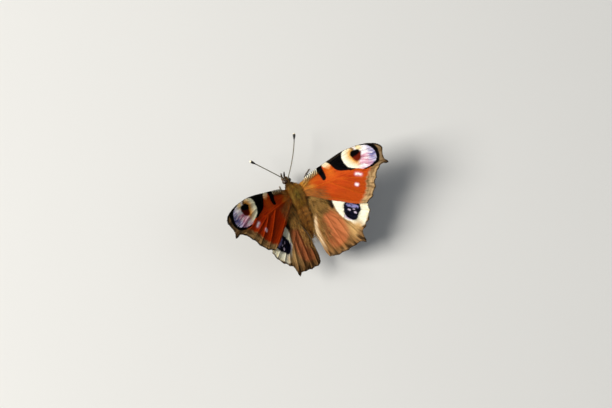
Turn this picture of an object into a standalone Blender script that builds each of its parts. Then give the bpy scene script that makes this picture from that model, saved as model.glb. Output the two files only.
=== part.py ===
"""A peacock butterfly, life size, standing with its wings open in a shallow V.

The head points along -Y, the butterfly's right side is at -X, and its feet stand on z = 0.
Lengths are millimetres until an object is made, where MM turns them into metres. Places on the
body are (left, back, up) from the middle of the thorax; places on a wing are (out, back) from
its hinge line, in the plane of the wing.
"""

import math

import bpy
from mathutils import Vector
from mathutils.geometry import delaunay_2d_cdt, intersect_point_line

MM = 0.001
GAP = 0.3
FACE_GAP = 0.2
LEFT, RIGHT = 1, -1
SIDES = {"left": LEFT, "right": RIGHT}

# The height of the middle of the thorax over the floor
THORAX_UP = 8.0

# Each station is (back, up, half width, half height), fur included
THORAX = (
    (-3.9, -0.75, 1.15, 1.2),
    (-3.1, -0.35, 1.95, 1.95),
    (-1.8, 0.0, 2.35, 2.45),
    (-0.2, 0.1, 2.5, 2.55),
    (1.6, 0.0, 2.3, 2.4),
    (2.9, -0.3, 2.0, 2.0),
    (3.8, -0.6, 1.65, 1.6),
)
HEAD = (
    (-6.65, -1.2, 0.42, 0.55),
    (-6.45, -1.15, 0.58, 0.85),
    (-6.0, -1.05, 0.68, 1.08),
    (-5.4, -0.95, 0.7, 1.18),
    (-4.7, -0.9, 0.74, 1.15),
    (-4.2, -0.9, 0.78, 1.0),
)
BODY_SIDES = 24
BODY_STEP = 0.7
HEAD_SQUARENESS = 2.8

ABDOMEN_LENGTH = 11.2
ABDOMEN_DROP = 4.4
ABDOMEN_DRIFT = 0.7
ABDOMEN_SEGMENTS = 7
ABDOMEN_CREASE = 0.07
# Share of the length and the radius there
ABDOMEN_RADII = ((0.0, 1.5), (0.18, 1.8), (0.45, 1.85), (0.7, 1.55), (0.88, 1.05), (1.0, 0.35))

EYE_BACK, EYE_UP = -5.4, -0.85
EYE_LONG, EYE_HIGH, EYE_DEEP = 0.8, 0.95, 0.68

# Antennae: where each tip stands, and how the shaft swells into its club
ANTENNA_ROOT = Vector((0.5, -5.95, 0.0))
ANTENNA_TIPS = {"left": Vector((10.1, -16.1, 2.8)), "right": Vector((8.4, -18.0, 2.4))}
ANTENNA_ARCH = 0.9
ANTENNA_BOW = 0.35
SHAFT_RADIUS, CLUB_RADIUS = 0.25, 0.46
CLUB_STARTS, CLUB_WIDEST = 0.84, 0.94

# Each station is (left, back, up, radius)
PALP = (
    (0.36, -6.75, -1.72, 0.25),
    (0.46, -7.2, -1.72, 0.33),
    (0.54, -7.75, -1.35, 0.31),
    (0.6, -8.35, -0.8, 0.12),
)
PALP_STEP = 0.2

COIL_MIDDLE = Vector((0.0, -6.2, -3.05))
COIL_TURNS = 1.45
COIL_RADIUS, COIL_PITCH, COIL_THICK = 0.9, 0.52, 0.21

# Wings
DIHEDRAL = math.radians(20.0)
WING_THICK = 0.5
WING_ARCH, ARCH_SPAN = 0.5, 30.0
VEIN_RISE = 0.12
VEIN_ROOT_WIDE, VEIN_TIP_WIDE = 0.36, 0.22
SCALLOP_DEEP, SCALLOP_REACH = 0.45, 0.75
FOLD_WIDE, FOLD_STEEP = 1.7, 0.55
MARGIN_STEP, EDGE_STEP, VEIN_STEP, FILL_STEP = 0.7, 1.5, 1.7, 2.6

FOREWING = {
    "hinge_left": 2.36,
    "hinge_up": 1.3,
    "folded": False,
    "root": (-2.4, 1.2),
    "leading": (
        (1.2, -3.3), (3.0, -4.1), (6.4, -4.7), (10.0, -5.2), (14.0, -5.8), (17.0, -6.05),
        (20.0, -5.85), (23.0, -5.4), (25.6, -4.6), (27.7, -3.5), (28.8, -2.3),
    ),
    "outer": (
        ((28.8, -2.3), (28.9, -0.9), (28.4, 0.9), (28.3, 2.3), (28.8, 3.75)),
        (
            (28.8, 3.75), (27.2, 3.5), (25.3, 3.85), (23.95, 5.2), (22.5, 6.75), (21.6, 8.4),
            (20.4, 10.1), (18.7, 11.5), (16.8, 12.4),
        ),
    ),
    "trailing": (
        (16.8, 12.4), (14.2, 11.4), (11.5, 9.8), (9.2, 8.1), (6.9, 6.6), (3.6, 4.0), (0.8, 1.9),
    ),
    "veins": (
        ((0.3, -1.9), (4.0, -3.6), (9.0, -4.6), (14.2, -5.5)),
        (
            (0.3, -1.0), (3.0, -2.2), (8.0, -3.3), (12.5, -3.5), (17.0, -3.7), (21.0, -3.4),
            (25.2, -2.6), (28.6, -1.5),
        ),
        ((8.0, -3.3), (13.0, -4.6), (18.0, -5.6)),
        ((11.5, -3.5), (16.0, -4.6), (21.2, -5.4)),
        ((17.6, -3.7), (21.5, -4.4), (25.0, -4.5)),
        ((12.5, -3.5), (14.0, -2.3), (18.0, -1.3), (23.0, 0.6), (28.2, 3.3)),
        ((14.0, -2.3), (14.5, -0.6), (18.0, 1.2), (21.5, 2.8), (25.0, 3.7)),
        ((14.5, -0.6), (13.8, 1.6), (17.0, 3.5), (20.0, 5.0), (22.7, 6.2)),
        ((0.3, -0.2), (4.0, 0.2), (8.6, 0.9), (13.8, 1.6)),
        ((12.2, 1.4), (15.0, 4.0), (18.2, 6.6), (21.2, 8.7)),
        ((8.6, 0.9), (12.0, 4.5), (15.5, 8.0), (18.9, 11.0)),
        ((0.3, 0.5), (4.0, 3.2), (8.5, 6.6), (12.5, 9.5), (16.4, 12.1)),
    ),
}
HINDWING = {
    "hinge_left": 2.3,
    "hinge_up": 0.05,
    "folded": True,
    "root": (1.6, 4.2),
    "leading": (
        (0.9, 1.3), (4.0, 2.3), (8.0, 4.8), (12.0, 7.6), (15.2, 9.6), (16.9, 11.2), (17.6, 12.9),
    ),
    "outer": (
        (
            (17.6, 12.9), (17.0, 14.8), (15.7, 16.8), (13.8, 18.4), (12.3, 19.8), (12.0, 21.4),
            (11.5, 23.3),
        ),
        (
            (11.5, 23.3), (10.2, 22.6), (8.0, 22.7), (5.1, 23.0), (2.2, 23.0), (0.4, 22.8),
            (-0.9, 22.3),
        ),
    ),
    "trailing": (
        (-0.9, 22.3), (-1.5, 20.2), (-1.6, 17.8), (-1.7, 14.8), (-1.5, 12.3), (-0.8, 9.9),
        (-0.2, 7.9), (0.0, 6.2), (0.0, 5.0),
    ),
    "veins": (
        ((0.4, 2.3), (4.0, 3.6), (9.0, 6.8), (13.5, 9.6), (16.8, 12.0)),
        ((2.2, 3.3), (5.5, 7.0), (11.0, 11.2), (16.9, 14.7)),
        ((5.5, 7.0), (8.0, 10.4), (12.0, 14.0), (15.3, 17.1)),
        ((8.0, 10.4), (9.0, 12.4), (11.5, 15.6), (13.3, 18.6)),
        ((9.0, 12.4), (8.2, 13.6), (9.7, 17.4), (11.3, 22.5)),
        ((0.4, 3.6), (2.6, 7.0), (5.4, 11.0), (8.2, 13.6)),
        ((6.3, 12.0), (7.0, 15.5), (8.0, 22.1)),
        ((3.6, 8.6), (4.2, 14.0), (5.1, 22.4)),
        ((0.8, 5.0), (1.2, 10.0), (1.5, 16.0), (2.0, 22.4)),
    ),
}

# Legs: the place on the thorax that each grows from (back, degrees below level), its heading
# (degrees back from straight out), femur rise, then the lengths of its parts
LEG_SIDES = 8
FOOT_FACET = math.cos(math.pi / LEG_SIDES)
FOOT_RADIUS = 0.25
ANKLE_UP = 1.1
WALKING_LEGS = {
    "midleg": {"back": -0.6, "below": 52, "heading": -24, "coxa": 1.0, "femur": 4.0, "rise": 14,
               "tibia": 6.4, "tarsus": 1.3, "foot": 1.9},
    "hindleg": {"back": 1.8, "below": 54, "heading": 50, "coxa": 1.0, "femur": 4.4, "rise": 12,
                "tibia": 6.6, "tarsus": 1.3, "foot": 2.0},
}
# Of each pair, the left foot stands this many degrees further back than the right
STAGGER = 6
LEG_RADII = {"coxa": 0.42, "femur": 0.38, "knee": 0.3, "tibia": 0.27}
KNEE_ROUND = 0.35
FORELEG_BACK, FORELEG_BELOW = -2.2, 62
FORELEG_BENDS = (Vector((0.25, -1.0, -1.1)), Vector((0.1, -1.3, 0.35)))
FORELEG_RADII = (0.32, 0.28, 0.25, 0.12)

# Colour, roughness
MATERIALS = {
    "wing_scales": ((0.42, 0.09, 0.02), 0.75),
    "body_fur": ((0.13, 0.075, 0.025), 0.9),
    "eye": ((0.03, 0.018, 0.012), 0.25),
    "horn": ((0.02, 0.016, 0.012), 0.5),
}


# Small sums used by several parts

def smooth_line(points, step):
    """Points about a step apart on the curve that passes through the given ones (Catmull-Rom)."""
    known = [Vector(point) for point in points]
    ends = [2 * known[0] - known[1]] + known + [2 * known[-1] - known[-2]]
    line = []
    for before, here, there, after in zip(ends, ends[1:], ends[2:], ends[3:]):
        parts = max(1, round((there - here).length / step))
        for part in range(parts):
            t = part / parts
            bend = (there - before) * t
            bend += (2 * before - 5 * here + 4 * there - after) * t ** 2
            bend += (3 * here - before - 3 * there + after) * t ** 3
            line.append(here + bend / 2)
    return line + [known[-1]]


def between(stations, place):
    """The values after the first of each station, read at a place along them."""
    low = stations[0]
    for high in stations[1:]:
        if place <= high[0]:
            break
        low = high
    share = (place - low[0]) / (high[0] - low[0]) if high is not low else 1.0
    return [a + (b - a) * min(max(share, 0.0), 1.0) for a, b in zip(low[1:], high[1:])]


def thorax_surface(back, below):
    """A point on the thorax's side at an angle below level, and the way out from it there."""
    up, wide, high = between(THORAX, back)
    point = Vector((wide * math.cos(below), back, up - high * math.sin(below)))
    way = Vector((math.cos(below) / wide, 0.0, -math.sin(below) / high))
    return point, way.normalized()


def thorax_half_width(back, up):
    middle, wide, high = between(THORAX, back)
    return wide * math.sqrt(max(0.0, 1 - ((up - middle) / high) ** 2))


# Making objects

def make_material(name):
    colour, roughness = MATERIALS[name]
    material = bpy.data.materials.new(name)
    material.use_nodes = True
    shader = material.node_tree.nodes["Principled BSDF"]
    shader.inputs["Base Color"].default_value = (*colour, 1.0)
    shader.inputs["Roughness"].default_value = roughness
    material.diffuse_color = (*colour, 1.0)
    return material


def make_object(name, points, faces, material, parent, side=LEFT):
    """A mesh object from points in millimetres, mirrored to the other side where asked."""
    mesh = bpy.data.meshes.new(name)
    mirrored = [(side * x * MM, y * MM, z * MM) for x, y, z in points]
    turned = faces if side == LEFT else [tuple(reversed(face)) for face in faces]
    mesh.from_pydata(mirrored, [], turned)
    mesh.validate()
    mesh.shade_smooth()
    mesh.set_sharp_from_angle(angle=math.radians(40))
    mesh.materials.append(bpy.data.materials[material])
    part = bpy.data.objects.new(name, mesh)
    part.parent = parent
    bpy.context.scene.collection.objects.link(part)
    return part


def skin_rings(rings):
    """Points and faces of a closed form through rings of equal count, with flat ends."""
    count = len(rings[0])
    points = [point for ring in rings for point in ring]
    faces = [tuple(range(count))]
    for ring in range(len(rings) - 1):
        first = ring * count
        for k in range(count):
            after = (k + 1) % count
            faces.append((first + after, first + k, first + count + k, first + count + after))
    last = (len(rings) - 1) * count
    faces.append(tuple(reversed(range(last, last + count))))
    return points, faces


def tube(path, radii, sides, across):
    """Rings of a tube along a path, kept from twisting, with a flat side along its length."""
    rings = []
    for place, (point, radius) in enumerate(zip(path, radii)):
        ahead = path[min(place + 1, len(path) - 1)] - path[max(place - 1, 0)]
        along = ahead.normalized()
        across = (across - along * across.dot(along)).normalized()
        over = across.cross(along)
        ring = []
        for k in range(sides):
            turn = 2 * math.pi * (k + 0.5) / sides
            ring.append(point + radius * (math.cos(turn) * across + math.sin(turn) * over))
        rings.append(ring)
    return skin_rings(rings)


def bent(corners, radii, rounding):
    """A path with each inner corner cut short on both sides, and the radius at each point."""
    path, wide = [corners[0]], [radii[0]]
    for before, here, after, radius in zip(corners, corners[1:], corners[2:], radii[1:]):
        path.append(here + (before - here).normalized() * rounding)
        path.append(here + (after - here).normalized() * rounding)
        wide.extend((radius, radius))
    return path + [corners[-1]], wide + [radii[-1]]


# Head, thorax and abdomen

def body_ring(back, up, wide, high, squareness=2.0):
    ring = []
    for k in range(BODY_SIDES):
        turn = 2 * math.pi * k / BODY_SIDES
        x, z = math.cos(turn), math.sin(turn)
        x = math.copysign(abs(x) ** (2 / squareness), x)
        z = math.copysign(abs(z) ** (2 / squareness), z)
        ring.append(Vector((wide * x, back, up + high * z)))
    return ring


def make_thorax(parent):
    rings = [body_ring(*station) for station in smooth_line(THORAX, BODY_STEP)]
    make_object("thorax", *skin_rings(rings), "body_fur", parent)


def make_head(parent):
    rings = [body_ring(*station, HEAD_SQUARENESS) for station in HEAD]
    make_object("head", *skin_rings(rings), "body_fur", parent)


def abdomen_middle(share):
    """The abdomen's middle line, which sinks and drifts to the left towards its tip."""
    back, up = THORAX[-1][0] + GAP, THORAX[-1][1]
    return Vector((
        ABDOMEN_DRIFT * share ** 2,
        back + ABDOMEN_LENGTH * share,
        up - ABDOMEN_DROP * share ** 1.5,
    ))


def make_abdomen(parent):
    """A tapering form, slightly drawn in at each crease between two segments."""
    steps = ABDOMEN_SEGMENTS * 4
    path, radii = [], []
    for step in range(steps + 1):
        share = step / steps
        radius, = between(ABDOMEN_RADII, share)
        crease = abs(math.cos(math.pi * share * ABDOMEN_SEGMENTS)) ** 6
        radii.append(radius - ABDOMEN_CREASE * crease)
        path.append(abdomen_middle(share))
    points, faces = tube(path, radii, BODY_SIDES, Vector((1, 0, 0)))
    make_object("abdomen", points, faces, "body_fur", parent)


def make_eye(name, side, parent):
    """The outer part of an egg shape, with a flat back towards the head's side."""
    _, head_half_width, _ = between(HEAD, EYE_BACK)
    steps = 7
    rings = []
    for step in range(steps):
        tilt = math.pi / 2 * step / steps
        size = math.cos(tilt)
        depth = head_half_width + FACE_GAP + EYE_DEEP * math.sin(tilt)
        ring = []
        for k in range(BODY_SIDES):
            turn = 2 * math.pi * k / BODY_SIDES
            ring.append(Vector((
                depth,
                EYE_BACK - EYE_LONG * size * math.cos(turn),
                EYE_UP + EYE_HIGH * size * math.sin(turn),
            )))
        rings.append(ring)
    make_object(name, *skin_rings(rings), "eye", parent, side)


def make_antenna(name, side, parent):
    """An arched shaft that starts over the forehead and ends in a club."""
    start = ANTENNA_ROOT + Vector((0, 0, FACE_GAP))
    tip = ANTENNA_TIPS[name.split("_")[1]]
    steps = 28
    path, radii = [], []
    for step in range(steps + 1):
        share = step / steps
        bulge = 4 * share * (1 - share)
        path.append(start.lerp(tip, share) + bulge * Vector((ANTENNA_BOW, 0, ANTENNA_ARCH)))
        swell = min(max((share - CLUB_STARTS) / (CLUB_WIDEST - CLUB_STARTS), 0.0), 1.0)
        close = max((share - CLUB_WIDEST) / (1 - CLUB_WIDEST), 0.0)
        radius = SHAFT_RADIUS + (CLUB_RADIUS - SHAFT_RADIUS) * math.sin(swell * math.pi / 2)
        radii.append(radius * math.sqrt(1 - 0.8 * close ** 2))
    points, faces = tube(path, radii, LEG_SIDES, Vector((1, 0, 0)))
    make_object(name, points, faces, "horn", parent, side)


def make_palp(name, side, parent):
    stations = smooth_line(PALP, PALP_STEP)
    path = [station.to_3d() for station in stations]
    radii = [station.w for station in stations]
    points, faces = tube(path, radii, LEG_SIDES, Vector((1, 0, 0)))
    make_object(name, points, faces, "body_fur", parent, side)


def make_proboscis(parent):
    """A coil that winds inwards under the head."""
    steps = 30
    path, radii = [], []
    for step in range(steps + 1):
        share = step / steps
        turn = math.pi / 2 - 2 * math.pi * COIL_TURNS * share
        reach = COIL_RADIUS - COIL_PITCH * COIL_TURNS * share
        path.append(COIL_MIDDLE + Vector((0, -reach * math.cos(turn), reach * math.sin(turn))))
        radii.append(COIL_THICK)
    points, faces = tube(path, radii, LEG_SIDES, Vector((1, 0, 0)))
    make_object("proboscis", points, faces, "horn", parent)


# Wings

def near_line(point, line):
    """The distance from a point to a line, and how far along the line its nearest point lies."""
    best = (math.inf, 0.0)
    for place, (a, b) in enumerate(zip(line, line[1:])):
        foot, share = intersect_point_line(point, a, b)
        share = min(max(share, 0.0), 1.0)
        gap = (a.lerp(b, share) - point).length
        best = min(best, (gap, (place + share) / (len(line) - 1)))
    return best


def vein_width(share):
    return VEIN_ROOT_WIDE + (VEIN_TIP_WIDE - VEIN_ROOT_WIDE) * share


def vein_rise(point, veins):
    """How far the veins raise the membrane at a point."""
    rise = 0.0
    for line in veins:
        distance, share = near_line(point, line)
        rise = max(rise, 1 - distance / vein_width(share))
    return VEIN_RISE * rise


def scalloped(line, tips):
    """The outer edge, drawn in between the tips of the veins."""
    edge = []
    for before, here, after in zip([line[0]] + line, line, line[1:] + [line[-1]]):
        along = after - before
        inward = Vector((-along.y, along.x)).normalized()
        nearest = min((tip - here).length for tip in tips)
        bay = 1 - math.exp(-((nearest / SCALLOP_REACH) ** 2))
        edge.append(here + inward * SCALLOP_DEEP * (bay - 0.5))
    edge[0], edge[-1] = line[0], line[-1]
    return edge


def wing_root(wing):
    """The edge that faces the thorax, from back to front, a gap away from its side."""
    front, back = wing["root"]
    steps = 4
    edge = []
    for step in range(steps + 1):
        place = back + (front - back) * step / steps
        side = thorax_half_width(place, wing["hinge_up"]) + GAP
        edge.append(Vector(((side - wing["hinge_left"]) / math.cos(DIHEDRAL), place)))
    return edge


def wing_outline(wing, veins):
    root = wing_root(wing)
    tips = [line[-1] for line in veins]
    leading = smooth_line([root[-1], *wing["leading"]], EDGE_STEP)
    outline = root + leading[1:]
    for stretch in wing["outer"]:
        outline += scalloped(smooth_line(stretch, MARGIN_STEP), tips)[1:]
    trailing = smooth_line([*wing["trailing"], root[0]], EDGE_STEP)
    return outline + trailing[1:-1]


def vein_strips(line):
    """A vein's crest and the two feet of its ridge, as three lines."""
    crest, left, right = [], [], []
    for place, here in enumerate(line):
        along = line[min(place + 1, len(line) - 1)] - line[max(place - 1, 0)]
        across = Vector((-along.y, along.x)).normalized()
        wide = vein_width(place / (len(line) - 1))
        crest.append(here)
        left.append(here + across * wide)
        right.append(here - across * wide)
    return crest, left, right


def inside(point, outline):
    """Whether a point lies within a closed line, by counting the edges to its right."""
    odd = False
    for a, b in zip(outline, outline[1:] + outline[:1]):
        if (a.y > point.y) != (b.y > point.y):
            cross = a.x + (point.y - a.y) * (b.x - a.x) / (b.y - a.y)
            odd ^= cross > point.x
    return odd


def fill_points(outline, veins):
    """Points spread over the membrane between the veins, which let it bend."""
    reach = range(-2, 14)
    spread = []
    for across in reach:
        for along in reach:
            point = Vector((across * FILL_STEP, (along + (across % 2) / 2) * FILL_STEP))
            if not inside(point, outline):
                continue
            clear = min(near_line(point, line)[0] for line in veins + [outline + outline[:1]])
            if clear > FILL_STEP / 3:
                spread.append(point)
    return spread


def wing_lift(point, inner_edge):
    """How far the wing's middle surface stands off its plane: an arch, and any inner fold."""
    share = min(max(point.x / ARCH_SPAN, 0.0), 1.0)
    lift = WING_ARCH * 4 * share * (1 - share)
    if inner_edge:
        distance, _ = near_line(point, inner_edge)
        lift -= FOLD_STEEP * max(0.0, FOLD_WIDE - distance)
    return lift


def plane_mesh(outline, veins):
    """The wing's plan, cut into triangles that follow its outline and its veins."""
    points = list(outline)
    edges = []
    for line in veins:
        for strip in vein_strips(line):
            first = len(points)
            points.extend(strip)
            edges.extend((k, k + 1) for k in range(first, len(points) - 1))
    points.extend(fill_points(outline, veins))
    region = [tuple(range(len(outline)))]
    flat, _, triangles, *_ = delaunay_2d_cdt(points, edges, region, 1, 0.02)
    return flat, triangles


def rim_edges(triangles):
    """The edges that only one triangle has, in that triangle's own direction."""
    found = {}
    for face in triangles:
        for a, b in zip(face, face[1:] + face[:1]):
            if (b, a) in found:
                del found[b, a]
            else:
                found[a, b] = True
    return list(found)


def make_wing(name, wing, side, parent):
    """Two like sheets of triangles, one above the other, closed round the rim."""
    veins = [smooth_line(line, VEIN_STEP) for line in wing["veins"]]
    outline = wing_outline(wing, veins)
    flat, triangles = plane_mesh(outline, veins)
    inner_edge = smooth_line(wing["trailing"], EDGE_STEP) if wing["folded"] else None
    upper, lower = [], []
    for point in flat:
        middle = wing_lift(point, inner_edge)
        half = WING_THICK / 2 + vein_rise(point, veins)
        upper.append((point.x, point.y, middle + half))
        lower.append((point.x, point.y, middle - half))
    count = len(flat)
    faces = [tuple(face) for face in triangles]
    faces += [tuple(count + k for k in reversed(face)) for face in triangles]
    for a, b in rim_edges([list(face) for face in triangles]):
        faces.append((b, a, count + a))
        faces.append((b, count + a, count + b))
    part = make_object(name, upper + lower, faces, "wing_scales", parent, side)
    part.location = Vector((side * wing["hinge_left"], 0.0, wing["hinge_up"])) * MM
    part.rotation_euler = (0.0, -side * DIHEDRAL, 0.0)


# Legs

def walking_leg(leg, stagger):
    """Corner points and radii of a leg that ends in a flat foot on the floor."""
    root, way = thorax_surface(leg["back"], math.radians(leg["below"]))
    turn = math.radians(leg["heading"] + stagger)
    heading = Vector((math.cos(turn), math.sin(turn), 0.0))
    floor = -THORAX_UP
    start = root + way * GAP
    hip = start + way * leg["coxa"]
    rise = math.radians(leg["rise"])
    knee = hip + (heading * math.cos(rise) + Vector((0, 0, math.sin(rise)))) * leg["femur"]
    fall = knee.z - (floor + ANKLE_UP)
    ankle = knee + heading * math.sqrt(leg["tibia"] ** 2 - fall ** 2)
    ankle.z = floor + ANKLE_UP
    heel = ankle + heading * leg["tarsus"]
    heel.z = floor + FOOT_RADIUS * FOOT_FACET
    toe = heel + heading * leg["foot"]
    corners = [start, hip, knee, ankle, heel, toe]
    wide = [LEG_RADII["coxa"], LEG_RADII["femur"], LEG_RADII["knee"], LEG_RADII["tibia"]]
    return corners, wide + [FOOT_RADIUS, FOOT_RADIUS], heading


def make_walking_leg(name, leg, side, parent):
    corners, radii, heading = walking_leg(leg, side * STAGGER / 2)
    path, wide = bent(corners, radii, KNEE_ROUND)
    across = Vector((heading.y, -heading.x, 0.0))
    points, faces = tube(path, wide, LEG_SIDES, across)
    for point in points:
        point.z = max(point.z, -THORAX_UP)
    make_object(name, points, faces, "horn", parent, side)


def make_foreleg(name, side, parent):
    """The short brush leg that the butterfly keeps folded under its breast."""
    root, way = thorax_surface(FORELEG_BACK, math.radians(FORELEG_BELOW))
    corners = [root + way * GAP]
    corners.append(corners[0] + way * 0.6)
    for bend in FORELEG_BENDS:
        corners.append(corners[-1] + bend)
    path, wide = bent(corners, FORELEG_RADII, 0.2)
    points, faces = tube(path, wide, LEG_SIDES, Vector((1, 0, 0)))
    make_object(name, points, faces, "body_fur", parent, side)


def clear_scene():
    for part in list(bpy.data.objects):
        bpy.data.objects.remove(part, do_unlink=True)


def centre_over_floor(stance):
    """Moves the butterfly so that its box's middle is over the origin and its feet at z = 0."""
    bpy.context.view_layer.update()
    corners = []
    for part in stance.children:
        corners.extend(part.matrix_world @ vertex.co for vertex in part.data.vertices)
    for axis in range(2):
        places = [corner[axis] for corner in corners]
        stance.location[axis] -= (min(places) + max(places)) / 2
    bpy.context.view_layer.update()


def make_butterfly():
    for name in MATERIALS:
        make_material(name)
    stance = bpy.data.objects.new("stance", None)
    stance.location.z = THORAX_UP * MM
    bpy.context.scene.collection.objects.link(stance)
    make_thorax(stance)
    make_head(stance)
    make_abdomen(stance)
    make_proboscis(stance)
    for word, side in SIDES.items():
        make_eye("eye_" + word, side, stance)
        make_palp("palp_" + word, side, stance)
        make_antenna("antenna_" + word, side, stance)
        make_wing("forewing_" + word, FOREWING, side, stance)
        make_wing("hindwing_" + word, HINDWING, side, stance)
        make_foreleg("foreleg_" + word, side, stance)
        for name, leg in WALKING_LEGS.items():
            make_walking_leg(f"{name}_{word}", leg, side, stance)
    centre_over_floor(stance)


clear_scene()
make_butterfly()
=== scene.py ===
"""The looks of a life-size peacock butterfly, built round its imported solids.

Lengths are millimetres until a mesh is made. Places on the body are (left, back, up) from the
middle of the thorax. Places on a wing are (out, back) from its hinge line, in the wing's plane.
"""

import math

import bpy
import numpy as np
from mathutils import Matrix, Vector, kdtree


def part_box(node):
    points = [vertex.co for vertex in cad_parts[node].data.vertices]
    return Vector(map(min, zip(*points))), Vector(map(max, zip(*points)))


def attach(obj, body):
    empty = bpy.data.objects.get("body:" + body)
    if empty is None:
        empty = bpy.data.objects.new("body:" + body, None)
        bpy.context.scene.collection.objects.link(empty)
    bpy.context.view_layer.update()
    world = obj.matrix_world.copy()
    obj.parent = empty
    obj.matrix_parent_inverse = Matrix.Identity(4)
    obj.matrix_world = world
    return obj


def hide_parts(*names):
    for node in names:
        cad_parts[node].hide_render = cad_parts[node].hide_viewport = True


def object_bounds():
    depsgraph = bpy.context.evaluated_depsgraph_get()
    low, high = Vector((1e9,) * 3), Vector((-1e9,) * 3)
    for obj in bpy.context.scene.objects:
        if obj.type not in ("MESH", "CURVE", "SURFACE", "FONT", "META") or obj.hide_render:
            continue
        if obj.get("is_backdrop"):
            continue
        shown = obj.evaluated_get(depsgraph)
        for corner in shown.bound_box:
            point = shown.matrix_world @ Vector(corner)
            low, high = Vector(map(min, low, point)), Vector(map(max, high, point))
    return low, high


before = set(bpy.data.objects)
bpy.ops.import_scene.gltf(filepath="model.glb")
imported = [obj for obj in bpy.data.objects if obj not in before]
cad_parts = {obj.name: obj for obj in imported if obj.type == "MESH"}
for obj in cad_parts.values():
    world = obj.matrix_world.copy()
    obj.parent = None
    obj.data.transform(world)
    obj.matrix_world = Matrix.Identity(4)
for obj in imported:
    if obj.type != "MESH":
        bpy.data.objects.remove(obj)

CAD_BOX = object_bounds()
MM = 0.001
LEFT, RIGHT = 1, -1
SIDES = {"left": LEFT, "right": RIGHT}

# The thorax's middle stands this far behind the middle of its box, and this high over the floor
THORAX_BEHIND_BOX = 0.05
THORAX_UP = 8.0
thorax_low, thorax_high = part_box("thorax")
MIDDLE = np.array((
    (thorax_low.x + thorax_high.x) / 2 / MM,
    (thorax_low.y + thorax_high.y) / 2 / MM + THORAX_BEHIND_BOX,
    THORAX_UP,
))

# The solids' own stations: back, up, half width, half height
THORAX = (
    (-3.9, -0.75, 1.15, 1.2),
    (-3.1, -0.35, 1.95, 1.95),
    (-1.8, 0.0, 2.35, 2.45),
    (-0.2, 0.1, 2.5, 2.55),
    (1.6, 0.0, 2.3, 2.4),
    (2.9, -0.3, 2.0, 2.0),
    (3.8, -0.6, 1.65, 1.6),
)
ABDOMEN_START, ABDOMEN_LENGTH, ABDOMEN_DROP, ABDOMEN_DRIFT = 4.1, 11.2, 4.4, 0.7
ABDOMEN_UP = -0.6
ABDOMEN_SEGMENTS = 7

# Wings
DIHEDRAL = math.radians(20.0)
WING_ARCH, ARCH_SPAN = 0.5, 30.0
FOLD_WIDE, FOLD_STEEP = 1.7, 0.55
SCALLOP_DEEP, SCALLOP_REACH = 0.45, 0.75
ROOT_REACH = 0.9
MEMBRANE_HALF = 0.06
VEIN_RISE, VEIN_ROOT_WIDE, VEIN_TIP_WIDE = 0.11, 0.34, 0.2
PLEAT_DEEP, PLEAT_WIDE = 0.19, 1.3
SHEET_STEP, RIM_INSET = 0.16, 0.14
SCALE_ALONG, SCALE_ACROSS = 0.15, 0.135
SCALE_LONG, SCALE_WIDE, SCALE_RISE = 0.3, 0.17, 0.045
SLOPE_STEP = 0.05
COSTA_BARS = 0.66
# The angle round the fan point is worth this many millimetres, as it is half way out
HALF_WAY_OUT = 16
FRINGE_STEP, FRINGE_RADIUS = 0.045, 0.04
# A scale's place on the unwrap is this large, and a wing's own places there are these
PATCH_SIZE = 0.003
UNWRAP_SIZE, UNWRAP_UPPER, UNWRAP_LOWER = (0.94, 0.465), (0.03, 0.52), (0.03, 0.02)

UPPER_SEED, LOWER_SEED, FRINGE_SEED, COAT_SEED = 101, 102, 103, 110
PALP_SEED, LEG_SEED, LEG_FUR_SEED, FORELEG_SEED, FORELEG_FUR_SEED = 71, 80, 180, 90, 95

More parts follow.
